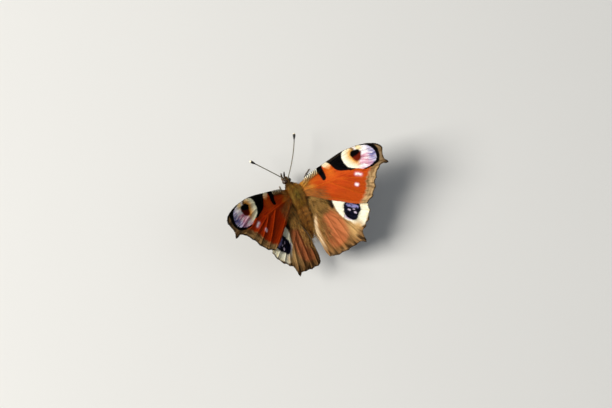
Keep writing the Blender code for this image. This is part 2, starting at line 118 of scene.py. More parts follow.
# Painted shade deepens the left forewing's colours and darkens its hair, and painted light
# lightens the left hindwing's hair: the colours are raised to the power "depth" and the hair's
# are multiplied by "painted_hair_light".
# "fan" is the point that veins, scales and hair lie away from, "root" the wing's stretch of the
# thorax from front to back, and "hair_lie" the way the hair lies along the inner margin.
FOREWING = {
    # Painted shade: the left forewing's colours are deepened and its hair darkened
    "depth": {"left": 1.25, "right": 1.0},
    "painted_hair_light": {"left": 0.72, "right": 1.0},
    "hinge_left": 2.36,
    "hinge_up": 1.3,
    "fan": (-4.0, -3.0),
    "hair_lie": (0.75, 0.66),
    "root": (-2.4, 1.2),
    "leading": (
        (1.2, -3.3), (3.0, -4.1), (6.4, -4.7), (10.0, -5.2), (14.0, -5.8), (17.0, -6.05),
        (20.0, -5.85), (23.0, -5.4), (25.6, -4.6), (27.7, -3.5), (28.8, -2.3),
    ),
    "outer": (
        ((28.8, -2.3), (28.9, -0.9), (28.4, 0.9), (28.3, 2.3), (28.8, 3.75)),
        (
            (28.8, 3.75), (27.2, 3.5), (25.3, 3.85), (23.95, 5.2), (22.5, 6.75), (21.6, 8.4),
            (20.4, 10.1), (18.7, 11.5), (16.8, 12.4),
        ),
    ),
    "trailing": (
        (16.8, 12.4), (14.2, 11.4), (11.5, 9.8), (9.2, 8.1), (6.9, 6.6), (3.6, 4.0), (0.8, 1.9),
    ),
    "veins": (
        ((0.3, -1.9), (4.0, -3.6), (9.0, -4.6), (14.2, -5.5)),
        (
            (0.3, -1.0), (3.0, -2.2), (8.0, -3.3), (12.5, -3.5), (17.0, -3.7), (21.0, -3.4),
            (25.2, -2.6), (28.6, -1.5),
        ),
        ((8.0, -3.3), (13.0, -4.6), (18.0, -5.6)),
        ((11.5, -3.5), (16.0, -4.6), (21.2, -5.4)),
        ((17.6, -3.7), (21.5, -4.4), (25.0, -4.5)),
        ((12.5, -3.5), (14.0, -2.3), (18.0, -1.3), (23.0, 0.6), (28.2, 3.3)),
        ((12.9, -3.2), (15.0, -1.0), (18.0, 1.2), (21.5, 2.8), (25.0, 3.7)),
        ((11.4, 1.3), (14.3, 2.3), (17.0, 3.5), (20.0, 5.0), (22.7, 6.2)),
        ((0.3, -0.2), (4.0, 0.2), (8.6, 0.9), (13.8, 1.6)),
        ((12.2, 1.4), (15.0, 4.0), (18.2, 6.6), (21.2, 8.7)),
        ((8.6, 0.9), (12.0, 4.5), (15.5, 8.0), (18.9, 11.0)),
        ((0.3, 0.5), (4.0, 3.2), (8.5, 6.6), (12.5, 9.5), (16.4, 12.1)),
    ),
}
HINDWING = {
    "depth": {"left": 1.0, "right": 1.0},
    # Painted light: the left hindwing's hair is lightened
    "painted_hair_light": {"left": 1.55, "right": 1.0},
    "hinge_left": 2.3,
    "hinge_up": 0.05,
    "fan": (-3.0, -3.0),
    "hair_lie": (-0.75, 0.66),
    "root": (1.6, 4.2),
    "leading": (
        (0.9, 1.3), (4.0, 2.3), (8.0, 4.8), (12.0, 7.6), (15.2, 9.6), (16.9, 11.2), (17.6, 12.9),
    ),
    "outer": (
        (
            (17.6, 12.9), (17.0, 14.8), (15.7, 16.8), (13.8, 18.4), (12.3, 19.8), (12.0, 21.4),
            (11.5, 23.3),
        ),
        (
            (11.5, 23.3), (10.2, 22.6), (8.0, 22.7), (5.1, 23.0), (2.2, 23.0), (0.4, 22.8),
            (-0.9, 22.3),
        ),
    ),
    "trailing": (
        (-0.9, 22.3), (-1.5, 20.2), (-1.6, 17.8), (-1.7, 14.8), (-1.5, 12.3), (-0.8, 9.9),
        (-0.2, 7.9), (0.0, 6.2), (0.0, 5.0),
    ),
    "veins": (
        ((0.4, 2.3), (4.0, 3.6), (9.0, 6.8), (13.5, 9.6), (16.8, 12.0)),
        ((2.2, 3.3), (5.5, 7.0), (11.0, 11.2), (16.9, 14.7)),
        ((5.5, 7.0), (8.0, 10.4), (12.0, 14.0), (15.3, 17.1)),
        ((8.0, 10.4), (9.0, 12.4), (11.5, 15.6), (13.3, 18.6)),
        ((9.0, 12.4), (8.2, 13.6), (9.7, 17.4), (11.3, 22.5)),
        ((0.4, 3.6), (2.6, 7.0), (5.4, 11.0), (8.2, 13.6)),
        ((6.3, 12.0), (7.0, 15.5), (8.0, 22.1)),
        ((3.6, 8.6), (4.2, 14.0), (5.1, 22.4)),
        ((0.8, 5.0), (1.2, 10.0), (1.5, 16.0), (2.0, 22.4)),
    ),
}

# Marks on the forewing's upper side
DISCAL_BAR = (
    (6.8, -4.7), (8.4, -4.8), (8.6, -3.2), (8.6, -1.6), (8.25, -0.4), (7.2, -0.3), (6.85, -2.2),
)
COSTAL_SPOT = (
    (8.8, -5.6), (10.6, -5.7), (11.2, -4.4), (11.3, -3.4), (10.6, -2.9), (9.8, -3.2), (9.1, -4.2),
)
COSTAL_PATCH = (
    (10.2, -5.9), (11.2, -4.3), (11.7, -2.7), (12.6, -1.35), (13.9, -0.5), (15.5, 0.1),
    (16.9, 0.75), (18.2, 0.6), (18.4, -3.0), (17.6, -6.6), (13.5, -6.4),
)
EYESPOT = (
    (15.55, -2.9), (15.75, -4.4), (16.5, -5.6), (18.6, -5.95), (21.0, -5.65), (23.0, -5.0),
    (24.7, -4.1), (25.8, -2.8), (26.25, -1.2), (26.0, 0.3), (25.1, 1.3), (23.6, 1.85),
    (21.8, 2.1), (20.1, 1.85), (18.4, 0.95), (16.9, 0.05), (15.95, -1.2),
)
EYESPOT_EDGE = (
    (20.2, -6.4), (22.8, -5.9), (25.2, -5.0), (26.8, -3.6), (27.4, -1.6), (27.15, 0.3),
    (26.2, 1.8), (24.3, 2.5), (22.2, 2.65), (20.6, 2.2), (19.0, 0.0), (18.6, -4.0),
)
EYESPOT_TURN = np.array(((0.94, -0.34), (0.34, 0.94)))
EYESPOT_STREAKS = (
    ((20.7, -1.9), (25.8, 0.0)), ((21.8, -3.6), (25.6, -2.7)), ((20.2, 0.5), (24.4, 1.6)),
)
EYESPOT_NOTCH = ((19.3, -6.1), (20.0, -5.0))
PUPIL = (
    (18.45, -3.4), (18.7, -4.35), (19.6, -4.8), (20.8, -4.6), (21.8, -4.0), (21.6, -3.3),
    (20.7, -2.9), (19.6, -2.75), (18.8, -2.75),
)
PUPIL_LOBE = (
    (19.0, -3.4), (21.9, -3.6), (21.8, -2.4), (21.2, -1.3), (20.2, -0.8), (19.3, -1.2),
    (18.9, -2.3),
)
# Start, end, radius, and the width of the pink round it
WHITE_SPOTS = (((17.6, 2.4), (18.8, 3.25), 0.3, 1.2), ((16.05, 5.35), (16.35, 5.7), 0.3, 0.6))

# Marks on the hindwing's upper side
RING = (
    (7.3, 8.0), (7.5, 10.0), (8.0, 12.2), (8.9, 13.9), (9.9, 15.2), (10.6, 16.6), (11.8, 17.9),
    (13.3, 17.9), (15.0, 16.6), (16.6, 15.0), (17.5, 13.3), (17.2, 11.6), (15.0, 9.6),
    (12.0, 7.7), (9.0, 6.1), (7.7, 6.4),
)
OCELLUS = (
    (10.3, 9.4), (11.6, 8.9), (13.4, 9.7), (14.7, 11.2), (14.8, 12.2), (14.3, 13.3), (13.1, 14.2),
    (12.2, 15.05), (11.2, 15.15), (10.15, 14.3), (9.35, 12.9), (9.4, 11.2),
)
WEDGE = ((5.6, 5.4), (7.8, 6.2), (7.6, 7.6), (7.1, 8.8), (6.5, 8.8), (6.0, 7.6))
RUST_FIELD = (
    (1.8, 10.2), (5.4, 9.2), (7.4, 11.8), (8.3, 15.0), (8.0, 18.0), (5.4, 20.0), (1.6, 19.8),
    (1.4, 14.0),
)
BLUE_BAND = ((11.4, 9.9), (13.8, 11.9), 0.48)
BLUE_DOTS = (
    ((10.9, 11.4), (11.2, 11.8), 0.26), ((12.3, 13.1), (12.6, 13.4), 0.26),
    ((12.4, 11.9), (12.6, 12.2), 0.14),
)
OCELLUS_CRESCENT = ((9.1, 12.7), (9.5, 13.6), (10.5, 14.6))


# Small sums

def smooth_line(points, step):
    """Points about a step apart on the curve that passes through the given ones (Catmull-Rom)."""
    known = np.asarray(points, float)
    ends = np.vstack((2 * known[0] - known[1], known, 2 * known[-1] - known[-2]))
    line = []
    for before, here, there, after in zip(ends, ends[1:], ends[2:], ends[3:]):
        parts = max(1, round(float(np.linalg.norm(there - here)) / step))
        t = np.arange(parts)[:, None] / parts
        bend = (there - before) * t
        bend = bend + (2 * before - 5 * here + 4 * there - after) * t ** 2
        bend = bend + (3 * here - before - 3 * there + after) * t ** 3
        line.append(here + bend / 2)
    return np.vstack(line + [known[-1:]])


def closed_line(points, step=0.35):
    """The same for a closed outline, whose last point is its first."""
    known = np.asarray(points, float)
    turns = len(known)
    wrapped = np.vstack((known[-2:], known, known[:3]))
    line = smooth_line(wrapped, step)
    starts = [0]
    for here, there in zip(wrapped, wrapped[1:]):
        starts.append(starts[-1] + max(1, round(float(np.linalg.norm(there - here)) / step)))
    return line[starts[2]:starts[2 + turns] + 1]


def nearest(points, line):
    """The distance from each point to a line, the nearest place, and how far along that is."""
    best = np.full(len(points), np.inf)
    foot = np.zeros_like(points)
    share = np.zeros(len(points))
    for place, (start, end) in enumerate(zip(line, line[1:])):
        step = end - start
        t = np.clip((points - start) @ step / max(step @ step, 1e-12), 0, 1)
        spot = start + t[:, None] * step
        gap = np.linalg.norm(points - spot, axis=1)
        closer = gap < best
        best[closer] = gap[closer]
        foot[closer] = spot[closer]
        share[closer] = (place + t[closer]) / (len(line) - 1)
    return best, foot, share


def distance(points, line):
    return nearest(points, line)[0]


def within(points, outline):
    """Whether each point lies inside a closed line, by counting the edges to its right."""
    odd = np.zeros(len(points), bool)
    for start, end in zip(outline, outline[1:]):
        if start[1] == end[1]:
            continue
        spans = (start[1] > points[:, 1]) != (end[1] > points[:, 1])
        cross = start[0] + (points[:, 1] - start[1]) * (end[0] - start[0]) / (end[1] - start[1])
        odd ^= spans & (cross > points[:, 0])
    return odd


def ease(share):
    """0 to 1 with soft ends."""
    held = np.clip(share, 0.0, 1.0)
    return held * held * (3 - 2 * held)


def mix(first, second, share):
    """A blend of two colours or lists of colours."""
    return first + (second - first) * np.atleast_1d(share)[:, None]


def layered(colours, *layers):
    """Colours with layers over them, each given as a colour and how fully it covers them."""
    for colour, share in layers:
        colours = mix(colours, colour, share)
    return colours


def lattice(cells, seed):
    """A repeatable number from 0 to 1 for each cell of a grid."""
    mixed = (cells[:, 0] * 374761393 + cells[:, 1] * 668265263 + seed * 974634777) & 0xFFFFFFFF
    mixed = ((mixed ^ (mixed >> 13)) * 1274126177) & 0xFFFFFFFF
    return ((mixed ^ (mixed >> 16)) & 0xFFFF) / 0xFFFF


def noise(points, seed=0):
    """Smooth noise from -1 to 1, with one cell to each unit."""
    cell = np.floor(points).astype(np.int64)
    part = ease(points - cell)
    rows = []
    for over in (0, 1):
        near = lattice(cell + (0, over), seed)
        far = lattice(cell + (1, over), seed)
        rows.append(near + (far - near) * part[:, 0])
    return 2 * (rows[0] + (rows[1] - rows[0]) * part[:, 1]) - 1


def linear(red, green, blue):
    """A colour given in sRGB steps from 0 to 255, as linear light."""
    steps = np.array((red, green, blue)) / 255
    return np.where(steps <= 0.04045, steps / 12.92, ((steps + 0.055) / 1.055) ** 2.4)


def unit(vectors):
    return vectors / np.maximum(np.linalg.norm(vectors, axis=-1, keepdims=True), 1e-12)


def quarter_turned(flat):
    return np.column_stack((-flat[:, 1], flat[:, 0]))


def read_table(at, path, table):
    """A table's rows at places along the path that its rows lie on."""
    return np.column_stack([np.interp(at, path, column) for column in table.T])


def way_along(at, path, table, step):
    """The way on along a table's line, at places along it."""
    return unit(read_table(at + step, path, table) - read_table(at - step, path, table))


def round_axis(ahead, turn, across):
    """Ways out from lines that run ahead, at an angle round them."""
    side = unit(np.cross(ahead, across))
    return np.cos(turn)[:, None] * side + np.sin(turn)[:, None] * np.cross(side, ahead)


# Making meshes

def make_mesh(name, points, groups, colours=None, patches=None):
    """A smooth mesh from millimetre points and arrays of face corners, one array for each count."""
    corners = np.concatenate([group.ravel() for group in groups]).astype(np.int32)
    sizes = np.concatenate([np.full(len(group), group.shape[1]) for group in groups])
    starts = np.concatenate(([0], np.cumsum(sizes)[:-1])).astype(np.int32)
    mesh = bpy.data.meshes.new(name)
    mesh.vertices.add(len(points))
    mesh.vertices.foreach_set("co", ((points + MIDDLE) * MM).astype(np.float32).ravel())
    mesh.loops.add(len(corners))
    mesh.loops.foreach_set("vertex_index", corners)
    mesh.polygons.add(len(sizes))
    mesh.polygons.foreach_set("loop_start", starts)
    mesh.update(calc_edges=True)
    mesh.shade_smooth()
    if colours is not None:
        layer = mesh.color_attributes.new("markings", "FLOAT_COLOR", "POINT")
        opaque = np.column_stack((np.clip(colours, 0, 1), np.ones(len(colours))))
        layer.data.foreach_set("color", opaque.astype(np.float32).ravel())
    if patches is not None:
        layer = mesh.uv_layers.new(name="OFBake")
        layer.data.foreach_set("uv", patches[corners].astype(np.float32).ravel())
    return mesh


def add_piece(name, points, groups, material, slot, *nodes, colours=None, patches=None):
    """Puts a piece of the butterfly in the scene, in the place of the named solids."""
    mesh = make_mesh(name, points, groups, colours, patches)
    mesh.materials.append(material)
    piece = bpy.data.objects.new(name, mesh)
    bpy.context.scene.collection.objects.link(piece)
    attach(piece, "root")
    if nodes:
        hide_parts(*nodes)


def ring_faces(rings, sides):
    """Quads between rings of points that follow one another."""
    index = np.arange(rings * sides).reshape(rings, sides)
    after = np.roll(index, -1, axis=1)
    return np.stack((after[:-1], index[:-1], index[1:], after[1:]), -1).reshape(-1, 4)


def end_caps(rings, sides):
    """Fans that close the two end rings, from two points that come after the rings."""
    around = np.arange(sides)
    after = np.roll(around, -1)
    start = rings * sides
    last = start - sides
    return np.vstack((
        np.stack((np.full(sides, start), around, after), -1),
        np.stack((np.full(sides, start + 1), last + after, last + around), -1),
    ))


def tube(path, radii, sides, across=(1.0, 0.0, 0.0)):
    """Points and faces of a tube whose ends are closed by fans."""
    path = np.asarray(path, float)
    ahead = unit(np.gradient(path, axis=0))
    turns = 2 * np.pi * (np.arange(sides) + 0.5) / sides
    rings = []
    side = np.asarray(across, float)
    for point, along, radius in zip(path, ahead, radii):
        side = unit(side - along * (side @ along))
        over = np.cross(side, along)
        ring = np.cos(turns)[:, None] * side + np.sin(turns)[:, None] * over
        rings.append(point + radius * ring)
    points = np.vstack(rings + [path[:1], path[-1:]])
    return points, [ring_faces(len(path), sides), end_caps(len(path), sides)]


def turned(groups, side):
    """Faces as they are on the left, and the other way round on the right."""
    return groups if side == LEFT else [group[:, ::-1] for group in groups]


def mirrored(points, groups, side):
    """A form of the left side as it is on either side of the body."""
    return points * (side, 1, 1), turned(groups, side)


def joined(parts):
    """One list of points and faces from several (points, groups, colours)."""
    points, colours, triangles, quads = [], [], [], []
    first = 0
    for spots, groups, shades in parts:
        points.append(spots)
        colours.append(np.broadcast_to(shades, (len(spots), 3)))
        for group in groups:
            (triangles if group.shape[1] == 3 else quads).append(group + first)
        first += len(spots)
    groups = [np.vstack(kind) for kind in (triangles, quads) if kind]
    return np.vstack(points), groups, np.vstack(colours)


def copies(faces, tones, places, colours, patches):
    """The faces, colours and unwrap of many copies of one small form, a copy for each colour."""
    first = np.arange(len(colours))[:, None, None] * len(tones)
    return (
        [(first + faces[None]).reshape(-1, 3)],
        (colours[:, None] * tones[None, :, None]).reshape(-1, 3),
        (patches[:, None] + places[None]).reshape(-1, 2),
    )


# Materials

NOISE_DETAIL = 3.0
FACET_SCALE = 14000.0
# Grain is in cells to a metre, and the depth of its relief in metres
FINISHES = {
    "wing_membrane": {"roughness": (0.55, 0.75), "grain": 9000.0, "depth": 10e-6, "specular": 0.08},
    "wing_scale": {
        "roughness": (0.5, 0.72), "grain": 6000.0, "depth": 8e-6, "specular": 0.03,
        "vary": (0.9, 1.08),
    },
    "fur": {
        "roughness": (0.5, 0.75), "grain": 5000.0, "depth": 10e-6, "specular": 0.15,
        "sheen": 0.04,
    },
    "hide": {"roughness": (0.6, 0.85), "grain": 7000.0, "depth": 30e-6, "specular": 0.1},
    "horn_finish": {"roughness": (0.32, 0.55), "grain": 7000.0, "depth": 12e-6, "specular": 0.45},
}


def new_material(name, roughness, specular=0.5, sheen=0.0, coat=0.0):
    """A material with its constant values on the shader's own sockets."""
    material = bpy.data.materials.new(name)
    material.use_nodes = True
    shader = material.node_tree.nodes["Principled BSDF"]
    values = {
        "Roughness": roughness, "Specular IOR Level": specular, "Sheen Weight": sheen,
        "Sheen Roughness": 0.4, "Coat Weight": coat, "Coat Roughness": 0.12,
    }
    for socket, value in values.items():
        shader.inputs[socket].default_value = value
    return material, material.node_tree, shader


def add_node(tree, kind, **values):
    """A node with some of its sockets set."""
    node = tree.nodes.new(kind)
    for socket, value in values.items():
        node.inputs[socket].default_value = value
    return node


def add_noise(tree, scale):
    """Noise in the object's own metres."""
    place = add_node(tree, "ShaderNodeTexCoord")
    pattern = add_node(tree, "ShaderNodeTexNoise", Scale=scale, Detail=NOISE_DETAIL)
    tree.links.new(place.outputs["Object"], pattern.inputs["Vector"])
    return pattern.outputs["Fac"]


def add_range(tree, value, low, high):
    """Spreads a noise value over a range."""
    limits = {"From Min": 0.3, "From Max": 0.7, "To Min": low, "To Max": high}
    spread = add_node(tree, "ShaderNodeMapRange", **limits)
    tree.links.new(value, spread.inputs["Value"])
    return spread.outputs["Result"]


def add_ramp(tree, value, colours, places=(0.0, 1.0)):
    """Turns a value into a colour between two."""
    ramp = add_node(tree, "ShaderNodeValToRGB")
    for element, colour, place in zip(ramp.color_ramp.elements, colours, places):
        element.color = (*colour, 1)
        element.position = place
    tree.links.new(value, ramp.inputs["Fac"])
    return ramp.outputs["Color"]


def shade_by(tree, colour, value):
    """Multiplies a colour by a grey value."""
    product = tree.nodes.new("ShaderNodeMix")
    product.data_type = "RGBA"
    product.blend_type = "MULTIPLY"
    product.inputs["Factor"].default_value = 1.0
    tree.links.new(colour, product.inputs["A"])
    tree.links.new(value, product.inputs["B"])
    return product.outputs["Result"]


def add_bump(tree, shader, height, depth, strength=0.6):
    bump = add_node(tree, "ShaderNodeBump", Strength=strength, Distance=depth)
    tree.links.new(height, bump.inputs["Height"])
    tree.links.new(bump.outputs["Normal"], shader.inputs["Normal"])


def painted_material(name, roughness, grain, depth, vary=(0.85, 1.12), **finish):
    """Colour from the piece's own markings, varied by fine grain that also raises its surface."""
    material, tree, shader = new_material(name, sum(roughness) / 2, **finish)
    marks = tree.nodes.new("ShaderNodeAttribute")
    marks.attribute_name = "markings"
    fine = add_noise(tree, grain)
    broad = add_noise(tree, grain / 8)
    shaded = shade_by(tree, marks.outputs["Color"], add_range(tree, fine, *vary))
    tree.links.new(shaded, shader.inputs["Base Color"])
    tree.links.new(add_range(tree, broad, *roughness), shader.inputs["Roughness"])
    add_bump(tree, shader, fine, depth)
    return material


def eye_material():
    """Dark brown facets under a clear gloss, with the pale false spots of a compound eye."""
    material, tree, shader = new_material("compound_eye", 0.25, coat=0.3)
    place = add_node(tree, "ShaderNodeTexCoord")
    facets = add_node(tree, "ShaderNodeTexVoronoi", Scale=FACET_SCALE)
    tree.links.new(place.outputs["Object"], facets.inputs["Vector"])
    from_middle = facets.outputs["Distance"]
    blotches = add_noise(tree, 1500.0)
    colour = add_ramp(tree, blotches, (EYE_DARK, EYE_BROWN), (0.35, 0.7))
    shaded = shade_by(tree, colour, add_range(tree, from_middle, 1.15, 0.6))
    tree.links.new(shaded, shader.inputs["Base Color"])
    tree.links.new(add_range(tree, blotches, 0.2, 0.34), shader.inputs["Roughness"])
    add_bump(tree, shader, add_range(tree, from_middle, 1.0, 0.0), 0.00002, 0.5)
    return material


def floor_material():
    material, tree, shader = new_material("pale_floor", 0.7, specular=0.2)
    colour = add_ramp(tree, add_noise(tree, 6.0), ((0.8, 0.8, 0.78), (0.84, 0.84, 0.82)))
    tree.links.new(colour, shader.inputs["Base Color"])
    add_bump(tree, shader, add_noise(tree, 900.0), 0.00002, 0.2)
    return material


# Painting the wings

# Colours of the wings
RUST, DEEP_RED, ORANGE = linear(198, 78, 22), linear(160, 40, 10), linear(224, 118, 34)
CREAM, PALE_YELLOW = linear(250, 246, 222), linear(238, 212, 140)
BLACK, SOOT = linear(4, 3, 4), linear(58, 48, 38)
TAN, DARK_TAN, EDGE = linear(194, 160, 112), linear(144, 110, 70), linear(36, 26, 16)
OLIVE, UMBER = linear(150, 122, 58), linear(92, 62, 28)
WHITE, LILAC, PINK = linear(252, 246, 248), linear(138, 134, 186), linear(226, 172, 192)
OXBLOOD, SIENNA = linear(104, 26, 8), linear(188, 108, 64)
NAVY, PALE_LILAC = linear(14, 14, 32), linear(226, 208, 230)
FAWN, GOLD, PALE_LIT_FOLD = linear(148, 104, 58), linear(200, 160, 102), linear(212, 188, 150)
OCHRE, DARK_OLIVE = linear(186, 134, 52), linear(78, 58, 28)
HONEY, DUST, PEAT = linear(172, 122, 52), linear(146, 110, 70), linear(74, 50, 24)
KHAKI, COPPER = linear(112, 84, 44), linear(168, 98, 44)
CHESTNUT, SEPIA, FRINGE_PALE = linear(132, 66, 34), linear(32, 20, 12), linear(176, 148, 112)
BRICK, EMBER, STRAW = linear(168, 64, 12), linear(206, 112, 40), linear(238, 190, 104)
TWILIGHT, ROSE, MAROON = linear(128, 106, 78), linear(190, 108, 132), linear(120, 52, 66)
UNDER_BROWN, UNDER_BLACK, UNDER_BAND = linear(50, 41, 38), linear(20, 16, 17), linear(16, 13, 15)
UNDER_LINE, UNDER_MARGIN, UNDER_EDGE = linear(112, 96, 84), linear(92, 80, 72), linear(34, 27, 26)

# Colours of the body, head and legs
THORAX_BROWN, THORAX_GOLD = linear(134, 82, 16), linear(160, 116, 36)
THORAX_SHEEN, THORAX_DARK, BREAST = linear(136, 122, 52), linear(92, 54, 16), linear(54, 41, 27)
ABDOMEN_GOLD, ABDOMEN_BROWN = linear(206, 136, 54), linear(146, 92, 34)
ABDOMEN_PALE, ABDOMEN_BAND, BELLY = linear(180, 132, 68), linear(64, 38, 14), linear(46, 35, 26)
HEAD_BROWN, HEAD_DARK = linear(98, 68, 32), linear(54, 36, 18)
EYE_DARK, EYE_BROWN = linear(26, 15, 10), linear(74, 46, 26)
SHAFT_BROWN, SHAFT_PALE = linear(44, 34, 24), linear(196, 186, 150)
CLUB_BLACK, CLUB_TIP = linear(14, 11, 11), linear(236, 226, 196)
PALP_BROWN, PALP_DARK, PALP_PALE = linear(60, 42, 28), linear(48, 34, 22), linear(128, 104, 72)
TONGUE_DARK, TONGUE_BROWN = linear(52, 32, 16), linear(120, 80, 38)
LEG_BROWN, LEG_PALE = linear(66, 48, 32), linear(148, 122, 86)


def wobble(points, size, scale, seed):
    """The points moved a little, so that the edges of the marks waver as rows of scales do."""
    shift = np.column_stack((noise(points * scale, seed), noise(points * scale, seed + 1)))
    return points + size * shift


def streaks(points, wing, across, along, seed):
    """Noise drawn out along the veins, with cells of the given sizes half way out."""
    away = points - wing["fan"]
    reach = np.linalg.norm(away, axis=1)
    turn = np.arctan2(away[:, 1], away[:, 0])
    return noise(np.column_stack((turn * HALF_WAY_OUT / across, reach / along)), seed)


def cover(points, outline, soft):
    """How fully each point lies in a closed mark with a soft edge."""
    shape = closed_line(outline)
    share = np.zeros(len(points))
    near = ((points > shape.min(0) - soft) & (points < shape.max(0) + soft)).all(axis=1)
    if near.any():
        gap = distance(points[near], shape)
        depth = np.where(within(points[near], shape), gap, -gap)
        share[near] = ease(depth / soft + 0.5)
    return share


def dab(points, start, end, radius, soft):
    """How fully each point lies in a short stroke with round ends."""
    gap = distance(points, np.array((start, end), float))
    return ease((radius - gap) / soft + 0.5)


def band(values, low, high, soft):
    return ease((values - low) / soft + 0.5) * ease((high - values) / soft + 0.5)


def round_spot(points, centre, reach):
    """A soft spot that fades with distance, with its own reach out and back."""
    return np.exp(-(((points - centre) / reach) ** 2).sum(axis=1))


def vein_crest(points, wing):
    """How far the nearest vein is, and how much each point lies on its ridge."""
    crest = np.zeros(len(points))
    closest = np.full(len(points), np.inf)
    for line in wing["lines"]:
        gap, _, along = nearest(points, line)
        wide = VEIN_ROOT_WIDE + (VEIN_TIP_WIDE - VEIN_ROOT_WIDE) * along
        crest = np.maximum(crest, ease(1 - gap / wide))
        closest = np.minimum(closest, gap)
    return closest, crest


def paint_eyespot(points, colours):
    """The great eye at the forewing's tip: cream, then white and pink, then lilac, with a pupil."""
    wavy = wobble(points, 0.1, 1.6, 21)
    away = points @ EYESPOT_TURN
    fibres = noise(away * (0.45, 2.6), 22)
    fine = noise(away * (0.7, 5.5), 23)
    out, back = points.T
    outer = out + 0.25 * back
    top = ease((-3.2 - back) / 1.2) * ease((23.6 - out) / 1.6) * ease((out - 20.6) / 0.8)
    rosy = ease((back + 2.6) / 1.0) * ease((out - 18.8) / 1.2) * ease((25.4 - out) / 1.5)
    inner = layered(
        CREAM,
        (WHITE, ease((out - 18.8) / 2.0)),
        (PALE_YELLOW, 0.8 * top),
        (PINK, rosy * ease(0.55 + 0.8 * fibres)),
        (ROSE, 0.7 * rosy * ease(fine * 1.8 - 0.15)),
        (LILAC, ease((outer - 22.6) / 2.0) * ease(0.75 + 0.6 * fine)),
        (NAVY, 0.75 * ease((outer - 24.0) / 1.2) * ease(fine * 1.8 - 0.25)),
    )
    for start, end in EYESPOT_STREAKS:
        inner = mix(inner, MAROON, 0.7 * dab(wavy, start, end, 0.07, 0.18))
    for mark in (PUPIL, PUPIL_LOBE):
        halo = cover(wavy, mark, 5.0) * ease((20.9 - out) / 1.6)
        glow = cover(wavy, mark, 2.2) * ease((20.6 - out) / 1.2)
        halo, glow = np.minimum(1.0, 2.2 * halo), np.minimum(1.0, 1.3 * glow)
        inner = layered(inner, (STRAW, halo), (EMBER, glow))
    inner = layered(
        inner,
        (OXBLOOD, cover(wavy, PUPIL_LOBE, 0.7)),
        (BLACK, cover(wavy, PUPIL, 0.5)),
        (KHAKI, 0.85 * dab(points, *EYESPOT_NOTCH, 0.35, 0.5)),
    )
    return mix(colours, inner, cover(wavy, EYESPOT, 0.16))


def paint_forewing_ground(points, wing, hairs):
    """Rust red with finer streaks between the veins, and a painted orange highlight over them."""
    lines = streaks(points, wing, 0.9, 5.0, 5)
    _, crest = vein_crest(points, wing)
    out, back = points.T
    return layered(
        RUST,
        (DEEP_RED, ease(0.14 + 0.4 * lines)),
        (DEEP_RED, 0.5 * ease(hairs * 1.4 - 0.2)),
        (BRICK, 0.7 * np.maximum(ease((9.5 - out) / 5.0), ease((back - 2.5) / 4.0))),
        # Painted highlight: the vein ridges are lit orange
        (ORANGE, 0.25 * crest),
        (ORANGE, 0.6 * round_spot(points, (10.3, -1.9), (1.4, 1.9))),
        (ORANGE, 0.35 * round_spot(points, (4.2, -1.2), (2.2, 1.4)) * ease(0.6 + lines)),
    )


def paint_forewing_margin(points, wing, colours, rim, wavy):
    """The tan margin, wider in its middle, with faint wavy bars and hairs that run into the red."""
    out, back = points.T
    hairs = streaks(points, wing, 0.3, 2.5, 7)
    wide = 2.2 + 1.1 * round_spot(points, (21.5, 6.5), (3.5, 3.5)) + 0.35 * noise(wavy * 0.9, 8)
    places = np.column_stack((rim * 2.4, (out - back) * 0.35))
    bars = noise(places + 0.4 * noise(points, 9)[:, None], 10)
    husk = layered(
        TAN,
        (DARK_TAN, ease(0.35 + 0.8 * bars)),
        (TWILIGHT, ease((out - 24.0) / 2.0) * 0.85),
        (UMBER, 0.6 * ease(hairs * 1.6 - 0.2)),
        (UMBER, 0.55 * ease((1.0 - rim) / 0.8) * ease(0.4 + bars)),
    )
    return mix(colours, husk, ease((wide - rim + 0.35 * hairs) / 1.3 + 0.5))


def paint_front_edge(points, colours, costa, hairs):
    """The dark front edge: barred with white near the body, sooty further out."""
    out = points[:, 0]
    dashes = np.sin(2 * np.pi * (out + 0.35 * costa) / COSTA_BARS)
    pale = mix(CREAM, GOLD, ease(costa - 0.1 + 0.4 * noise(points * 1.2, 11)))
    striped = ease((1.55 - costa) / 0.6 + 0.5) * band(out, 1.4, 7.6, 0.6)
    return layered(
        colours,
        (DARK_OLIVE, 0.9 * ease((2.3 - costa) / 0.9) * band(out, 0.5, 7.0, 1.0)),
        (SOOT, ease((0.6 - costa) / 0.3 + 0.5) * ease((out - 1.0) / 2.0)),
        (mix(BLACK, pale, ease(dashes * 1.6 + 0.5)), striped * ease(1.1 + hairs)),
    )


